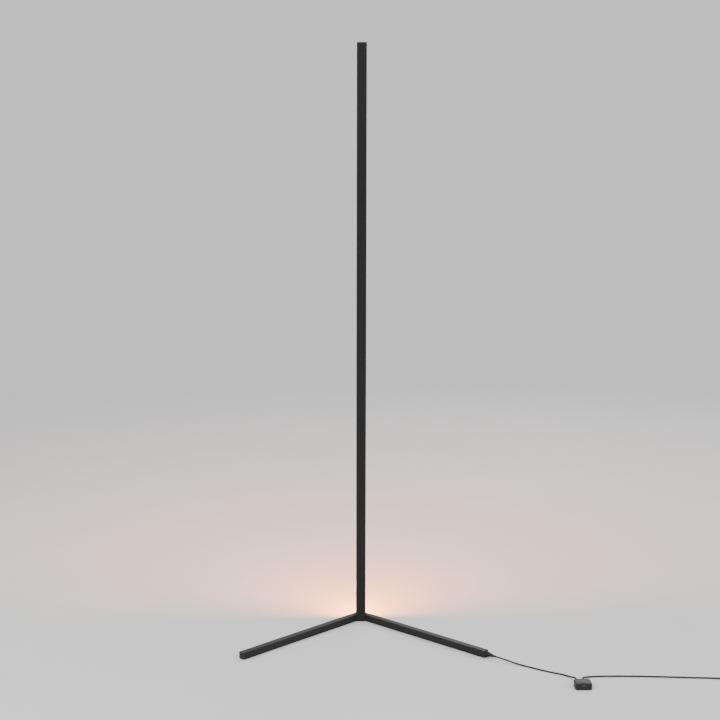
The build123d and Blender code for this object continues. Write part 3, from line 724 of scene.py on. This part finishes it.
def prism_row_tree():
    """A row of prisms that stand off a strip toward +Y, such as light sources or resistors."""
    sizes = [
        ("Sides", "Int", 4),
        ("Radius", "Float", 0.002),
        ("Height", "Float", 0.001),
        ("Spin", "Float", 0.0),
    ]
    tree, given, result = shape_tree("prism_row", sizes)
    inputs = {"Vertices": given["Sides"], "Radius": given["Radius"], "Depth": given["Height"]}
    prism = output_of(tree, "GeometryNodeMeshCylinder", inputs)
    spun = moved(tree, prism, Rotation=along_z(tree, given["Spin"]))
    lying = moved(tree, spun, Rotation=(math.radians(-90.0), 0.0, 0.0))
    return close_tree(tree, given, result, copied(tree, given, lying))


def cross_screw_tree():
    """Cross-slotted screws on points. The slot looks along Z before the screws are turned."""
    slot_reach = 1.2
    sizes = [
        ("Head Radius", "Float", 0.002),
        ("Neck Radius", "Float", 0.002),
        ("Head Height", "Float", 0.001),
        ("Shank Radius", "Float", 0.001),
        ("Shank Length", "Float", 0.005),
        ("Slot Width", "Float", 0.0006),
        ("Slot Depth", "Float", 0.0006),
        ("Turn", "Vector", (0.0, 0.0, 0.0)),
    ]
    tree, given, result = shape_tree("cross_screws", sizes)
    inputs = {
        "Vertices": 24,
        "Radius Top": given["Head Radius"],
        "Radius Bottom": given["Neck Radius"],
        "Depth": given["Head Height"],
    }
    head = output_of(tree, "GeometryNodeMeshCone", inputs)
    cut = new_node(tree, "GeometryNodeMeshBoolean", {"Mesh 1": head}, operation="DIFFERENCE", solver="EXACT")
    reach = maths(tree, "MULTIPLY", given["Head Radius"], slot_reach)
    depth = maths(tree, "MULTIPLY", given["Slot Depth"], 2.0)
    head_top = along_z(tree, given["Head Height"])
    for x, y in ((reach, given["Slot Width"]), (given["Slot Width"], reach)):
        size = output_of(tree, "ShaderNodeCombineXYZ", {"X": x, "Y": y, "Z": depth})
        bar = output_of(tree, "GeometryNodeMeshCube", {"Size": size})
        tree.links.new(moved(tree, bar, Translation=head_top), cut.inputs["Mesh 2"])
    inputs = {"Vertices": 16, "Radius": given["Shank Radius"], "Depth": given["Shank Length"]}
    shank = output_of(tree, "GeometryNodeMeshCylinder", inputs)
    half_down = maths(tree, "MULTIPLY", given["Shank Length"], -0.5)
    lowered = moved(tree, shank, Translation=along_z(tree, half_down))
    screw = new_node(tree, "GeometryNodeJoinGeometry")
    for part in (lowered, cut.outputs["Mesh"]):
        tree.links.new(part, screw.inputs["Geometry"])
    turn = output_of(tree, "FunctionNodeEulerToRotation", {"Euler": given["Turn"]})
    copies = copied(tree, given, screw.outputs["Geometry"], Rotation=turn)
    return close_tree(tree, given, result, copies)


def ribbed_boot_tree():
    """A tapered rubber boot between two points, with grooves that let it flex."""
    taper_share = 0.88
    groove_sharpness = 5.0
    sizes = [
        ("Start", "Vector", (0.0, 0.0, 0.0)),
        ("End", "Vector", (0.0, 0.0, 0.01)),
        ("Root Radius", "Float", 0.004),
        ("Tip Radius", "Float", 0.002),
        ("Grooves", "Int", 3),
        ("Groove Share", "Float", 0.2),
    ]
    tree, given, result = shape_tree("ribbed_boot", sizes)
    ends = {"Start": given["Start"], "End": given["End"]}
    line = output_of(tree, "GeometryNodeCurvePrimitiveLine", ends)
    rings = output_of(tree, "GeometryNodeResampleCurve", {"Curve": line, "Count": 72})
    along = output_of(tree, "GeometryNodeSplineParameter")
    radii = {"To Min": given["Root Radius"], "To Max": given["Tip Radius"]}
    taper = output_of(tree, "ShaderNodeMapRange", {"Value": along, "From Max": taper_share, **radii})
    phase = maths(tree, "MULTIPLY", maths(tree, "MULTIPLY", along, given["Grooves"]), 2 * math.pi)
    wave = maths(tree, "MULTIPLY_ADD", maths(tree, "COSINE", phase), -0.5, 0.5)
    groove = maths(tree, "MULTIPLY", maths(tree, "POWER", wave, groove_sharpness), given["Groove Share"])
    radius = maths(tree, "MULTIPLY", taper, maths(tree, "SUBTRACT", 1.0, groove))
    ring = output_of(tree, "GeometryNodeCurvePrimitiveCircle", {"Resolution": 40, "Radius": 1.0})
    inputs = {"Curve": rings, "Profile Curve": ring, "Scale": radius, "Fill Caps": True}
    skin = output_of(tree, "GeometryNodeCurveToMesh", inputs)
    smooth = output_of(tree, "GeometryNodeSetShadeSmooth", {"Geometry": skin})
    return close_tree(tree, given, result, smooth)


# Leads


def lead_curve(name, points, diameter, material):
    """A lead as one open, smooth spline with a round section."""
    curve = bpy.data.curves.new(name, "CURVE")
    curve.dimensions = "3D"
    curve.bevel_depth = diameter / 2
    curve.bevel_resolution = 4
    curve.resolution_u = 8
    curve.use_fill_caps = True
    spline = curve.splines.new("NURBS")
    spline.points.add(len(points) - 1)
    for point, place in zip(spline.points, points):
        point.co = (*place, 1.0)
    spline.order_u = 3
    spline.use_endpoint_u = True
    spline.use_smooth = True
    curve.materials.append(material)
    return linked(name, curve)


def leg_point(distance):
    """A point on the right leg's middle line, at a distance out from the corner."""
    return leg_start + Vector((math.cos(leg_turn), -math.sin(leg_turn), 0.0)) * distance


def gland_tip(node):
    low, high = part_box(node)
    return Vector(((low.x + high.x) / 2, high.y, (low.z + high.z) / 2))


def lamp_lead_points(leads, boots):
    """Route from the boot on the leg over the floor to the controller."""
    boot_tip = boots.leg_reach + boots.leg_boot_length
    floor = leads.floor_height
    end = gland_tip("inlet_gland")
    return [
        leg_point(boot_tip),
        leg_point(boot_tip + leads.boot_run),
        Vector((0.345, -0.317, floor)),
        Vector((0.380, -0.3455, floor)),
        Vector((0.414, -0.371, floor)),
        Vector((0.436, -0.383, floor)),
        Vector((0.452, -0.401, 0.0028)),
        end + Vector((0.0, leads.gland_run, 0.0)),
        end,
    ]


def coil_point(leads, turn):
    """Middle of the coiled lead, a number of turns after it starts. Layers spiral in and out by turns."""
    climbs = leads.climb_turns * (leads.coil_layers - 1)
    layer_turns = (leads.coil_turns - climbs) / leads.coil_layers
    step = layer_turns + leads.climb_turns
    layer = min(int(turn / step), leads.coil_layers - 1)
    along = turn - layer * step
    spiral = min(along, layer_turns)
    climb = max(along - layer_turns, 0.0) / leads.climb_turns
    inward = spiral if layer % 2 == 0 else layer_turns - spiral
    radius = leads.coil_radius + leads.coil_pitch * (layer_turns / 2 - inward)
    angle = leads.coil_start + 2 * math.pi * turn
    return Vector(
        (
            leads.coil_middle[0] + radius * math.cos(angle),
            leads.coil_middle[1] + radius * math.sin(angle),
            leads.coil_floor + leads.coil_rise * (layer + climb),
        )
    )


def supply_lead_points(leads):
    """Route from the controller over the floor to the coil, round its turns and out to the plug."""
    floor = leads.floor_height
    start = gland_tip("outlet_gland")
    count = round(leads.coil_turns * leads.points_per_turn)
    turns = [coil_point(leads, leads.coil_turns * i / count) for i in range(count + 1)]
    entry_heading = (turns[1] - turns[0]).normalized()
    entry_heading = (entry_heading + Vector((1.0, 0.0, 0.0))).normalized()
    exit_heading = Vector((0.0, 1.0, 0.0))
    coil_in = turns[0] - entry_heading * leads.diameter
    coil_out = turns[-1] + exit_heading * leads.diameter
    plug_low, plug_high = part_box("plug_body")
    plug_tip = Vector(((plug_low.x + plug_high.x) / 2, plug_low.y, (plug_low.z + plug_high.z) / 2))
    on_floor = [
        start,
        start + Vector((0.0, leads.gland_run, 0.0)),
        Vector((0.481, -0.4055, 0.0034)),
        Vector((0.494, -0.3985, floor)),
        Vector((0.518, -0.3965, floor)),
        Vector((0.560, -0.3965, floor)),
        Vector((0.610, -0.399, floor)),
        Vector((0.662, -0.4035, floor)),
        Vector((0.714, -0.409, floor)),
        Vector((0.762, -0.413, floor)),
        coil_in - entry_heading * leads.coil_run_in,
        coil_in,
    ]
    to_plug = [
        coil_out,
        coil_out + exit_heading * leads.coil_run_out,
        Vector((plug_tip.x + 0.002, -0.350, 0.0064)),
        plug_tip - Vector((0.0, leads.plug_run, 0.0)),
        plug_tip,
    ]
    return on_floor + turns + to_plug


# Operators, in the order in which they run


class CORNERLAMP_OT_stage(bpy.types.Operator):
    """Makes the pale floor, the soft lights and the camera"""

    bl_idname = "corner_lamp.stage"
    bl_label = "Studio"
    bl_options = {"REGISTER", "UNDO"}

    def execute(self, context):
        lamp = context.scene.corner_lamp
        studio = lamp.studio
        self.make_camera(studio)
        self.make_floor(studio)
        self.make_surroundings(studio)
        aim = Vector((0.1, -0.1, 0.55))
        lights = {
            "key_light": (studio.key_power, Vector((-2.4, -2.6, 3.0)), 2.4),
            "fill_light": (studio.fill_power, Vector((3.0, -2.2, 2.2)), 2.6),
            "rim_light": (studio.rim_power, Vector((1.2, 2.8, 2.6)), 2.0),
        }
        for name, (power, place, width) in lights.items():
            self.soft_light(name, power, place, aim, (width, width))
        self.own_light(studio, lamp.colours)
        return {"FINISHED"}

    def make_camera(self, studio):
        tilt, turn, roll = studio.camera_turn
        view = Matrix.Rotation(turn, 3, "Z") @ Matrix.Rotation(tilt, 3, "X") @ Matrix.Rotation(roll, 3, "Z")
        camera = linked("camera", bpy.data.cameras.new("camera"))
        camera.data.lens = studio.lens
        camera.location = studio.camera_place
        camera.rotation_euler = view.to_euler()
        bpy.context.scene.camera = camera

    def make_floor(self, studio):
        half = studio.floor_size / 2
        corners = [(-half, -half, 0), (half, -half, 0), (half, half, 0), (-half, half, 0)]
        mesh = bpy.data.meshes.new("floor")
        mesh.from_pydata(corners, [], [(0, 1, 2, 3)])
        floor = linked("floor", mesh)
        floor.data.materials.append(self.floor_finish(studio))

    def floor_finish(self, studio):
        """Pale floor that fades into the surroundings far from the lamp."""
        black = (0.0, 0.0, 0.0)
        lit = {"Emission Strength": studio.sky_strength}
        finish = Finish("pale_floor", specular=0.0, others=lit)
        grain = finish.grain(scale=3.0, contrast=0.02)
        distance = new_node(finish.tree, "ShaderNodeVectorMath", {0: finish.place}, operation="LENGTH")
        fade = ramp(finish.tree, distance.outputs["Value"], studio.fade_start, studio.fade_end)
        colour = finish.tinted(studio.floor_colour, grain["Tone"])
        colour = finish.mixed(fade, colour, black)
        glow = finish.tinted(studio.sky_colour, fade)
        return finish.done(colour, rough=(grain["Height"], 0.5, 0.6), glow=glow)

    def make_surroundings(self, studio):
        world = bpy.data.worlds.new("studio")
        world.use_nodes = True
        background = world.node_tree.nodes["Background"]
        background.inputs["Color"].default_value = (*studio.sky_colour, 1.0)
        background.inputs["Strength"].default_value = studio.sky_strength
        bpy.context.scene.world = world

    def soft_light(self, name, power, place, aim, size):
        light = bpy.data.lights.new(name, "AREA")
        light.shape = "RECTANGLE"
        light.size, light.size_y = size
        light.energy = power
        lamp = linked(name, light)
        lamp.location = place
        lamp.rotation_euler = (aim - place).to_track_quat("-Z", "Y").to_euler()
        return lamp

    def own_light(self, studio, colours):
        """The orange light that the lamp sends out behind it."""
        off_cover = 0.001
        height = pole_top - pole_bottom
        width = 1.6 * half_pole
        place = Vector((0.0, half_pole + off_cover, pole_bottom + height / 2))
        behind = place + Vector((0.0, 1.0, 0.0))
        glow = self.soft_light("own_light", studio.glow_power, place, behind, (width, height))
        glow.data.color = colours.cast
        glow.visible_camera = False
        glow.visible_glossy = False


class CORNERLAMP_OT_screws(bpy.types.Operator):
    """Drives the cross-slotted screws of the pole, the legs and the controller"""

    bl_idname = "corner_lamp.screws"
    bl_label = "Screws"
    bl_options = {"REGISTER", "UNDO"}

    def execute(self, context):
        sizes = context.scene.corner_lamp.screws
        tree = cross_screw_tree()
        zinc = drawn_metal("zinc_plate", base=(0.62, 0.62, 0.60), rough=(0.24, 0.42))
        black = drawn_metal("blackened_steel", base=(0.03, 0.03, 0.032), rough=(0.35, 0.5))
        sets = (
            ("pole_cross_screws", "pole_screws", zinc, self.pole_screws(sizes)),
            ("leg_cross_screws", "leg_screws", black, self.leg_screws(sizes)),
            ("controller_cross_screws", "controller_screws", zinc, self.controller_screws()),
        )
        for name, node, metal, (places, values) in sets:
            screws = run_tree(tree, name, places, {**values, "Material": metal})
            add_piece(screws, "zinc_steel", node)
        return {"FINISHED"}

    def pole_screws(self, sizes):
        """Places and sizes of the screws that look backward out of the pole's inner web."""
        low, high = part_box("pole_screws")
        head_height = 0.0015
        seat = high.y - head_height
        heights = [pole_bottom + sizes.pole_inset]
        for joint in joint_heights:
            heights += [joint - sizes.pole_inset, joint + sizes.pole_inset]
        places = [(side * sizes.pole_spread, seat, z) for z in heights for side in (-1, 1)]
        return places, {
            "Head Radius": 0.0019,
            "Neck Radius": 0.0022,
            "Head Height": head_height,
            "Shank Radius": 0.00125,
            "Shank Length": seat - low.y,
            "Turn": (math.radians(-90.0), 0.0, 0.0),
        }

    def leg_screws(self, sizes):
        """Places and sizes of the countersunk screws under the legs."""
        low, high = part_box("leg_screws")
        head_height = 0.0015
        seat = low.z + head_height
        places = []
        for distance in (sizes.leg_first, sizes.leg_first + sizes.leg_step):
            place = leg_point(distance)
            places += [(side * place.x, place.y, seat) for side in (-1, 1)]
        return places, {
            "Head Radius": 0.0028,
            "Neck Radius": 0.0015,
            "Head Height": head_height,
            "Shank Radius": 0.0015,
            "Shank Length": high.z - seat,
            "Slot Width": 0.0007,
            "Slot Depth": 0.0008,
            "Turn": (math.radians(180.0), 0.0, 0.0),
        }

    def controller_screws(self):
        """Places and sizes of the screws under the controller."""
        low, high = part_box("controller_screws")
        head_radius = (high.y - low.y) / 2
        crown_share = 0.9
        head_height = 0.0012
        seat = low.z + head_height
        middle = (low.y + high.y) / 2
        places = [(x, middle, seat) for x in (low.x + head_radius, high.x - head_radius)]
        return places, {
            "Head Radius": head_radius * crown_share,
            "Neck Radius": head_radius,
            "Head Height": head_height,
            "Shank Radius": 0.001,
            "Shank Length": high.z - seat,
            "Slot Width": 0.0005,
            "Slot Depth": 0.0006,
            "Turn": (math.radians(180.0), 0.0, 0.0),
        }


class CORNERLAMP_OT_boots(bpy.types.Operator):
    """Fits the rubber boots on the leg and on the controller"""

    bl_idname = "corner_lamp.boots"
    bl_label = "Boots"
    bl_options = {"REGISTER", "UNDO"}

    def execute(self, context):
        lamp = context.scene.corner_lamp
        boots = lamp.boots
        colours = lamp.colours
        tree = ribbed_boot_tree()
        shared = {"Tip Radius": boots.tip_radius, "Groove Share": boots.groove_share}
        leg_boot = {
            **shared,
            "Start": leg_point(boots.leg_reach),
            "End": leg_point(boots.leg_reach + boots.leg_boot_length),
            "Root Radius": boots.leg_boot_radius,
            "Grooves": boots.leg_grooves,
            "Material": soft_rubber("boot_rubber", colours, rough=(0.50, 0.70), dust=0.10),
        }
        add_piece(run_tree(tree, "leg_boot", [], leg_boot), "sleeve_rubber", "strain_relief")
        rubber = soft_rubber("gland_rubber", colours, rough=(0.50, 0.68), dust=0.08)
        for name, node in (("inlet_boot", "inlet_gland"), ("outlet_boot", "outlet_gland")):
            low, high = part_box(node)
            tip = gland_tip(node)
            gland_boot = {
                **shared,
                "Start": Vector((tip.x, low.y, tip.z)),
                "End": tip,
                "Root Radius": (high.x - low.x) / 2,
                "Grooves": boots.gland_grooves,
                "Material": rubber,
            }
            add_piece(run_tree(tree, name, [], gland_boot), "sleeve_rubber", node)
        return {"FINISHED"}


class CORNERLAMP_OT_tie(bpy.types.Operator):
    """Straps the coil together with a woven tie"""

    bl_idname = "corner_lamp.tie"
    bl_label = "Coil tie"
    bl_options = {"REGISTER", "UNDO"}

    def execute(self, context):
        lamp = context.scene.corner_lamp
        tie = lamp.tie
        leads = lamp.leads
        middle = Vector((*leads.coil_middle, 0.0))
        out = Vector((math.cos(tie.turn), math.sin(tie.turn), 0.0))
        along = Vector((-out.y, out.x, 0.0))
        near, far = self.span(leads, tie)
        loop = self.loop(leads, tie, far - near)
        tail = self.tail(loop, tie)
        mesh = bpy.data.meshes.new("woven_tie")
        sheet = bmesh.new()
        for line, closed in ((loop, True), (tail, False)):
            places = [(middle + out * ((near + far) / 2 + across), up) for across, up in line]
            self.strap(sheet, places, along, tie, closed)
        sheet.to_mesh(mesh)
        sheet.free()
        strap = linked("woven_tie", mesh)
        solid = strap.modifiers.new("thickness", "SOLIDIFY")
        solid.thickness = tie.thickness
        solid.offset = 0.0
        rounded = strap.modifiers.new("edges", "BEVEL")
        rounded.width = tie.thickness / 4
        rounded.segments = 2
        strap.data.materials.append(woven_strap(lamp.colours, tie, middle))
        for face in strap.data.polygons:
            face.use_smooth = True
        add_piece(strap, "tie_strap", "cord_tie")
        return {"FINISHED"}

    def span(self, leads, tie):
        """Distances from the coil's middle to the two inner sides of the strap, clear of the turns' bow."""
        first_turn = (tie.turn - leads.coil_start) / (2 * math.pi) % 1
        middle = Vector(leads.coil_middle)
        count = int(leads.coil_turns - first_turn) + 1
        distances = [(coil_point(leads, first_turn + turn).xy - middle).length for turn in range(count)]
        room = leads.diameter / 2 + tie.gap
        nearest = math.sqrt(min(distances) ** 2 - (tie.width / 2) ** 2)
        return nearest - room, max(distances) + room

    def loop(self, leads, tie, inner_width):
        """The strap's line round the bundle: a rectangle with well rounded corners, as (across, up)."""
        bend_steps = 6
        bundle = leads.coil_rise * (leads.coil_layers - 1) + leads.diameter
        height = bundle + 2 * tie.gap + tie.thickness
        half_width = (inner_width + tie.thickness) / 2
        bottom = tie.thickness / 2
        line = []
        corners = ((1, 0, -90), (1, 1, 0), (-1, 1, 90), (-1, 0, 180))
        for side, top, start in corners:
            across = side * (half_width - tie.corner)
            up = bottom + (height - tie.corner if top else tie.corner)
            for i in range(bend_steps + 1):
                angle = math.radians(start + 90 * i / bend_steps)
                line.append((across + tie.corner * math.cos(angle), up + tie.corner * math.sin(angle)))
        return line

    def tail(self, loop, tie):
        """The end of the strap, which lies on the top of the loop and lifts a little at its tip."""
        steps = 6
        overlap = 0.35
        flat_share = 0.6
        clear = 1.02
        lying = max(up for _, up in loop) + tie.thickness * clear
        shares = [i / steps for i in range(steps + 1)]
        return [
            (tie.tail * (share - overlap), lying + tie.tail_lift * max(share - flat_share, 0.0))
            for share in shares
        ]

    def strap(self, sheet, line, along, tie, closed):
        """Faces between the two edges of a strap that follows a line."""
        columns = (-1, -0.5, 0, 0.5, 1)
        rows = []
        for place, up in line:
            middle = Vector((place.x, place.y, up))
            rows.append([sheet.verts.new(middle + along * (side * tie.width / 2)) for side in columns])
        pairs = list(zip(rows, rows[1:]))
        if closed:
            pairs.append((rows[-1], rows[0]))
        for here, there in pairs:
            for i in range(len(columns) - 1):
                sheet.faces.new((here[i], here[i + 1], there[i + 1], there[i]))


class CORNERLAMP_OT_lamp_lead(bpy.types.Operator):
    """Lays the lead from the leg to the controller"""

    bl_idname = "corner_lamp.lamp_lead"
    bl_label = "Lamp lead"
    bl_options = {"REGISTER", "UNDO"}

    def execute(self, context):
        lamp = context.scene.corner_lamp
        leads = lamp.leads
        points = lamp_lead_points(leads, lamp.boots)
        lead = lead_curve("lamp_lead", points, leads.diameter, lead_jacket(lamp.colours))
        add_piece(lead, "lead_jacket", "lamp_cord")
        return {"FINISHED"}


class CORNERLAMP_OT_supply_lead(bpy.types.Operator):
    """Lays the lead from the controller to the plug, wound into a coil on its way"""

    bl_idname = "corner_lamp.supply_lead"
    bl_label = "Supply lead"
    bl_options = {"REGISTER", "UNDO"}

    def execute(self, context):
        lamp = context.scene.corner_lamp
        leads = lamp.leads
        points = supply_lead_points(leads)
        lead = lead_curve("supply_lead", points, leads.diameter, lead_jacket(lamp.colours))
        add_piece(lead, "lead_jacket", "supply_cord", "cord_coil", "plug_lead")
        return {"FINISHED"}


class CORNERLAMP_OT_pole(bpy.types.Operator):
    """Finishes the pole, its splices and its cap"""

    bl_idname = "corner_lamp.pole"
    bl_label = "Pole"
    bl_options = {"REGISTER", "UNDO"}

    def execute(self, context):
        colours = context.scene.corner_lamp.colours
        bare = drawn_metal(
            "bare_aluminium", base=(0.72, 0.72, 0.73), rough=(0.28, 0.42), stretch=(1.0, 1.0, 0.01)
        )
        cap = black_moulding("cap_moulding", colours, scale=1900.0, rough=(0.42, 0.58), dust=0.14)
        coat(black_anodised(colours), "lower_pole", "middle_pole", "upper_pole")
        coat(bare, "lower_splice", "upper_splice")
        coat(cap, "top_cap")
        return {"FINISHED"}


class CORNERLAMP_OT_legs(bpy.types.Operator):
    """Finishes the legs, their end caps, the corner and the feet"""

    bl_idname = "corner_lamp.legs"
    bl_label = "Legs"
    bl_options = {"REGISTER", "UNDO"}

    def execute(self, context):
        colours = context.scene.corner_lamp.colours
        ends = black_moulding("end_moulding", colours, scale=2100.0, rough=(0.46, 0.62), dust=0.08)
        feet = soft_rubber("foot_rubber", colours, rough=(0.72, 0.92))
        coat(black_paint(colours, 1), "right_leg")
        coat(black_paint(colours, -1), "left_leg")
        coat(black_casting(colours), "corner_block")
        coat(ends, "left_end_cap", "right_end_cap")
        coat(feet, "corner_foot", "left_foot", "right_foot")
        coat(lead_jacket(colours), "leg_lead")
        return {"FINISHED"}


class CORNERLAMP_OT_light(bpy.types.Operator):
    """Finishes the opal cover and fits the strip with its light sources"""

    bl_idname = "corner_lamp.light"
    bl_label = "Light"
    bl_options = {"REGISTER", "UNDO"}

    def execute(self, context):
        colours = context.scene.corner_lamp.colours
        light = context.scene.corner_lamp.light
        coat(opal_cover(colours, light), "light_diffuser")
        coat(strip_film(light), "led_strip")
        coat(pale_plastic("connector_plastic", base=(0.70, 0.69, 0.66)), "strip_connector")
        tree = prism_row_tree()
        low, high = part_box("led_chips")
        count = round((high.z - low.z - light.size) / light.pitch) + 1
        heights = [first_light(light) + light.pitch * i for i in range(count)]
        resistor_step = light.pitch * 0.3
        square = {"Sides": 4, "Spin": math.radians(45.0)}
        packages = {
            **square,
            "Radius": light.size / math.sqrt(2),
            "Height": light.height,
            "Material": pale_plastic("package_plastic", base=(0.80, 0.80, 0.78)),
        }
        windows = {
            "Sides": 20,
            "Radius": light.lens_radius,
            "Height": light.lens_height,
            "Material": light_window(colours),
        }
        resistors = {
            **square,
            "Radius": light.resistor_size / math.sqrt(2),
            "Height": light.resistor_height,
            "Material": black_moulding("resistor_plastic", colours, scale=3000.0, rough=(0.35, 0.5)),
        }
        rows = (
            ("light_packages", low.y, 0.0, packages, ["led_chips"]),
            ("light_windows", low.y + light.height, 0.0, windows, []),
            ("light_resistors", low.y, resistor_step, resistors, []),
        )
        for name, front, step, values, nodes in rows:
            middle = front + values["Height"] / 2
            places = [(0.0, middle, height + step) for height in heights]
            add_piece(run_tree(tree, name, places, values), "light_source", *nodes)
        return {"FINISHED"}


class CORNERLAMP_OT_controller(bpy.types.Operator):
    """Finishes the controller, its button and what it holds"""

    bl_idname = "corner_lamp.controller"
    bl_label = "Controller"
    bl_options = {"REGISTER", "UNDO"}

    def execute(self, context):
        colours = context.scene.corner_lamp.colours
        shell = black_moulding(
            "controller_moulding",
            colours,
            scale=1300.0,
            rough=(0.44, 0.60),
            dust=0.05,
            seam_height=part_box("controller_cover")[0].z,
        )
        button = black_moulding("button_moulding", colours, scale=2400.0, rough=(0.30, 0.44))
        switch = black_moulding("switch_moulding", colours, scale=2600.0, rough=(0.38, 0.5))
        chips = black_moulding("chip_plastic", colours, scale=3200.0, rough=(0.5, 0.66))
        coat(shell, "controller_base", "controller_cover")
        coat(button, "controller_button")
        coat(switch, "switch_body")
        coat(pale_plastic("plunger_plastic", base=(0.62, 0.60, 0.56)), "switch_plunger")
        coat(circuit_board(), "controller_board")
        coat(chips, "board_chips")
        coat(receiver_plastic(), "receiver_window")
        return {"FINISHED"}


class CORNERLAMP_OT_plug(bpy.types.Operator):
    """Finishes the plug, its shell, its tongue and its contacts"""

    bl_idname = "corner_lamp.plug"
    bl_label = "Plug"
    bl_options = {"REGISTER", "UNDO"}

    def execute(self, context):
        colours = context.scene.corner_lamp.colours
        grip = soft_rubber("plug_rubber", colours, rough=(0.46, 0.62), dust=0.08)
        shell = drawn_metal(
            "plated_shell", base=(0.56, 0.555, 0.54), rough=(0.20, 0.36), stretch=(1.0, 0.02, 1.0)
        )
        contacts = drawn_metal(
            "gilt_contacts", base=(0.83, 0.62, 0.28), rough=(0.18, 0.30), stretch=(1.0, 0.05, 1.0)
        )
        coat(grip, "plug_body")
        coat(shell, "plug_shell")
        coat(pale_plastic("tongue_plastic", base=(0.76, 0.75, 0.72)), "plug_tongue")
        coat(contacts, "plug_contacts")
        return {"FINISHED"}


groups = (LampColours, LeadSizes, TieSizes, LightSizes, BootSizes, ScrewSizes, StudioSizes, CornerLamp)
operators = (
    CORNERLAMP_OT_stage,
    CORNERLAMP_OT_screws,
    CORNERLAMP_OT_boots,
    CORNERLAMP_OT_tie,
    CORNERLAMP_OT_lamp_lead,
    CORNERLAMP_OT_supply_lead,
    CORNERLAMP_OT_pole,
    CORNERLAMP_OT_legs,
    CORNERLAMP_OT_light,
    CORNERLAMP_OT_controller,
    CORNERLAMP_OT_plug,
)


class CORNERLAMP_PT_sidebar(bpy.types.Panel):
    """Lists the lamp's sizes and the operators that dress it."""

    bl_idname = "CORNERLAMP_PT_sidebar"
    bl_label = "Corner lamp"
    bl_space_type = "VIEW_3D"
    bl_region_type = "UI"
    bl_category = "Lamp"

    def draw(self, context):
        lamp = context.scene.corner_lamp
        for name in CornerLamp.__annotations__:
            group = getattr(lamp, name)
            box = self.layout.box()
            for key in group.__annotations__:
                box.prop(group, key)
        for operator in operators:
            self.layout.operator(operator.bl_idname)


def register():
    for kind in (*groups, *operators, CORNERLAMP_PT_sidebar):
        bpy.utils.register_class(kind)
    bpy.types.Scene.corner_lamp = bpy.props.PointerProperty(
        name="Corner lamp", description="Sizes and colours of the lamp", type=CornerLamp
    )


def unregister():
    del bpy.types.Scene.corner_lamp
    for kind in reversed((*groups, *operators, CORNERLAMP_PT_sidebar)):
        bpy.utils.unregister_class(kind)


def main():
    register()
    for operator in operators:
        name = operator.bl_idname.split(".")[1]
        getattr(bpy.ops.corner_lamp, name)()


if __name__ == "__main__":
    main()
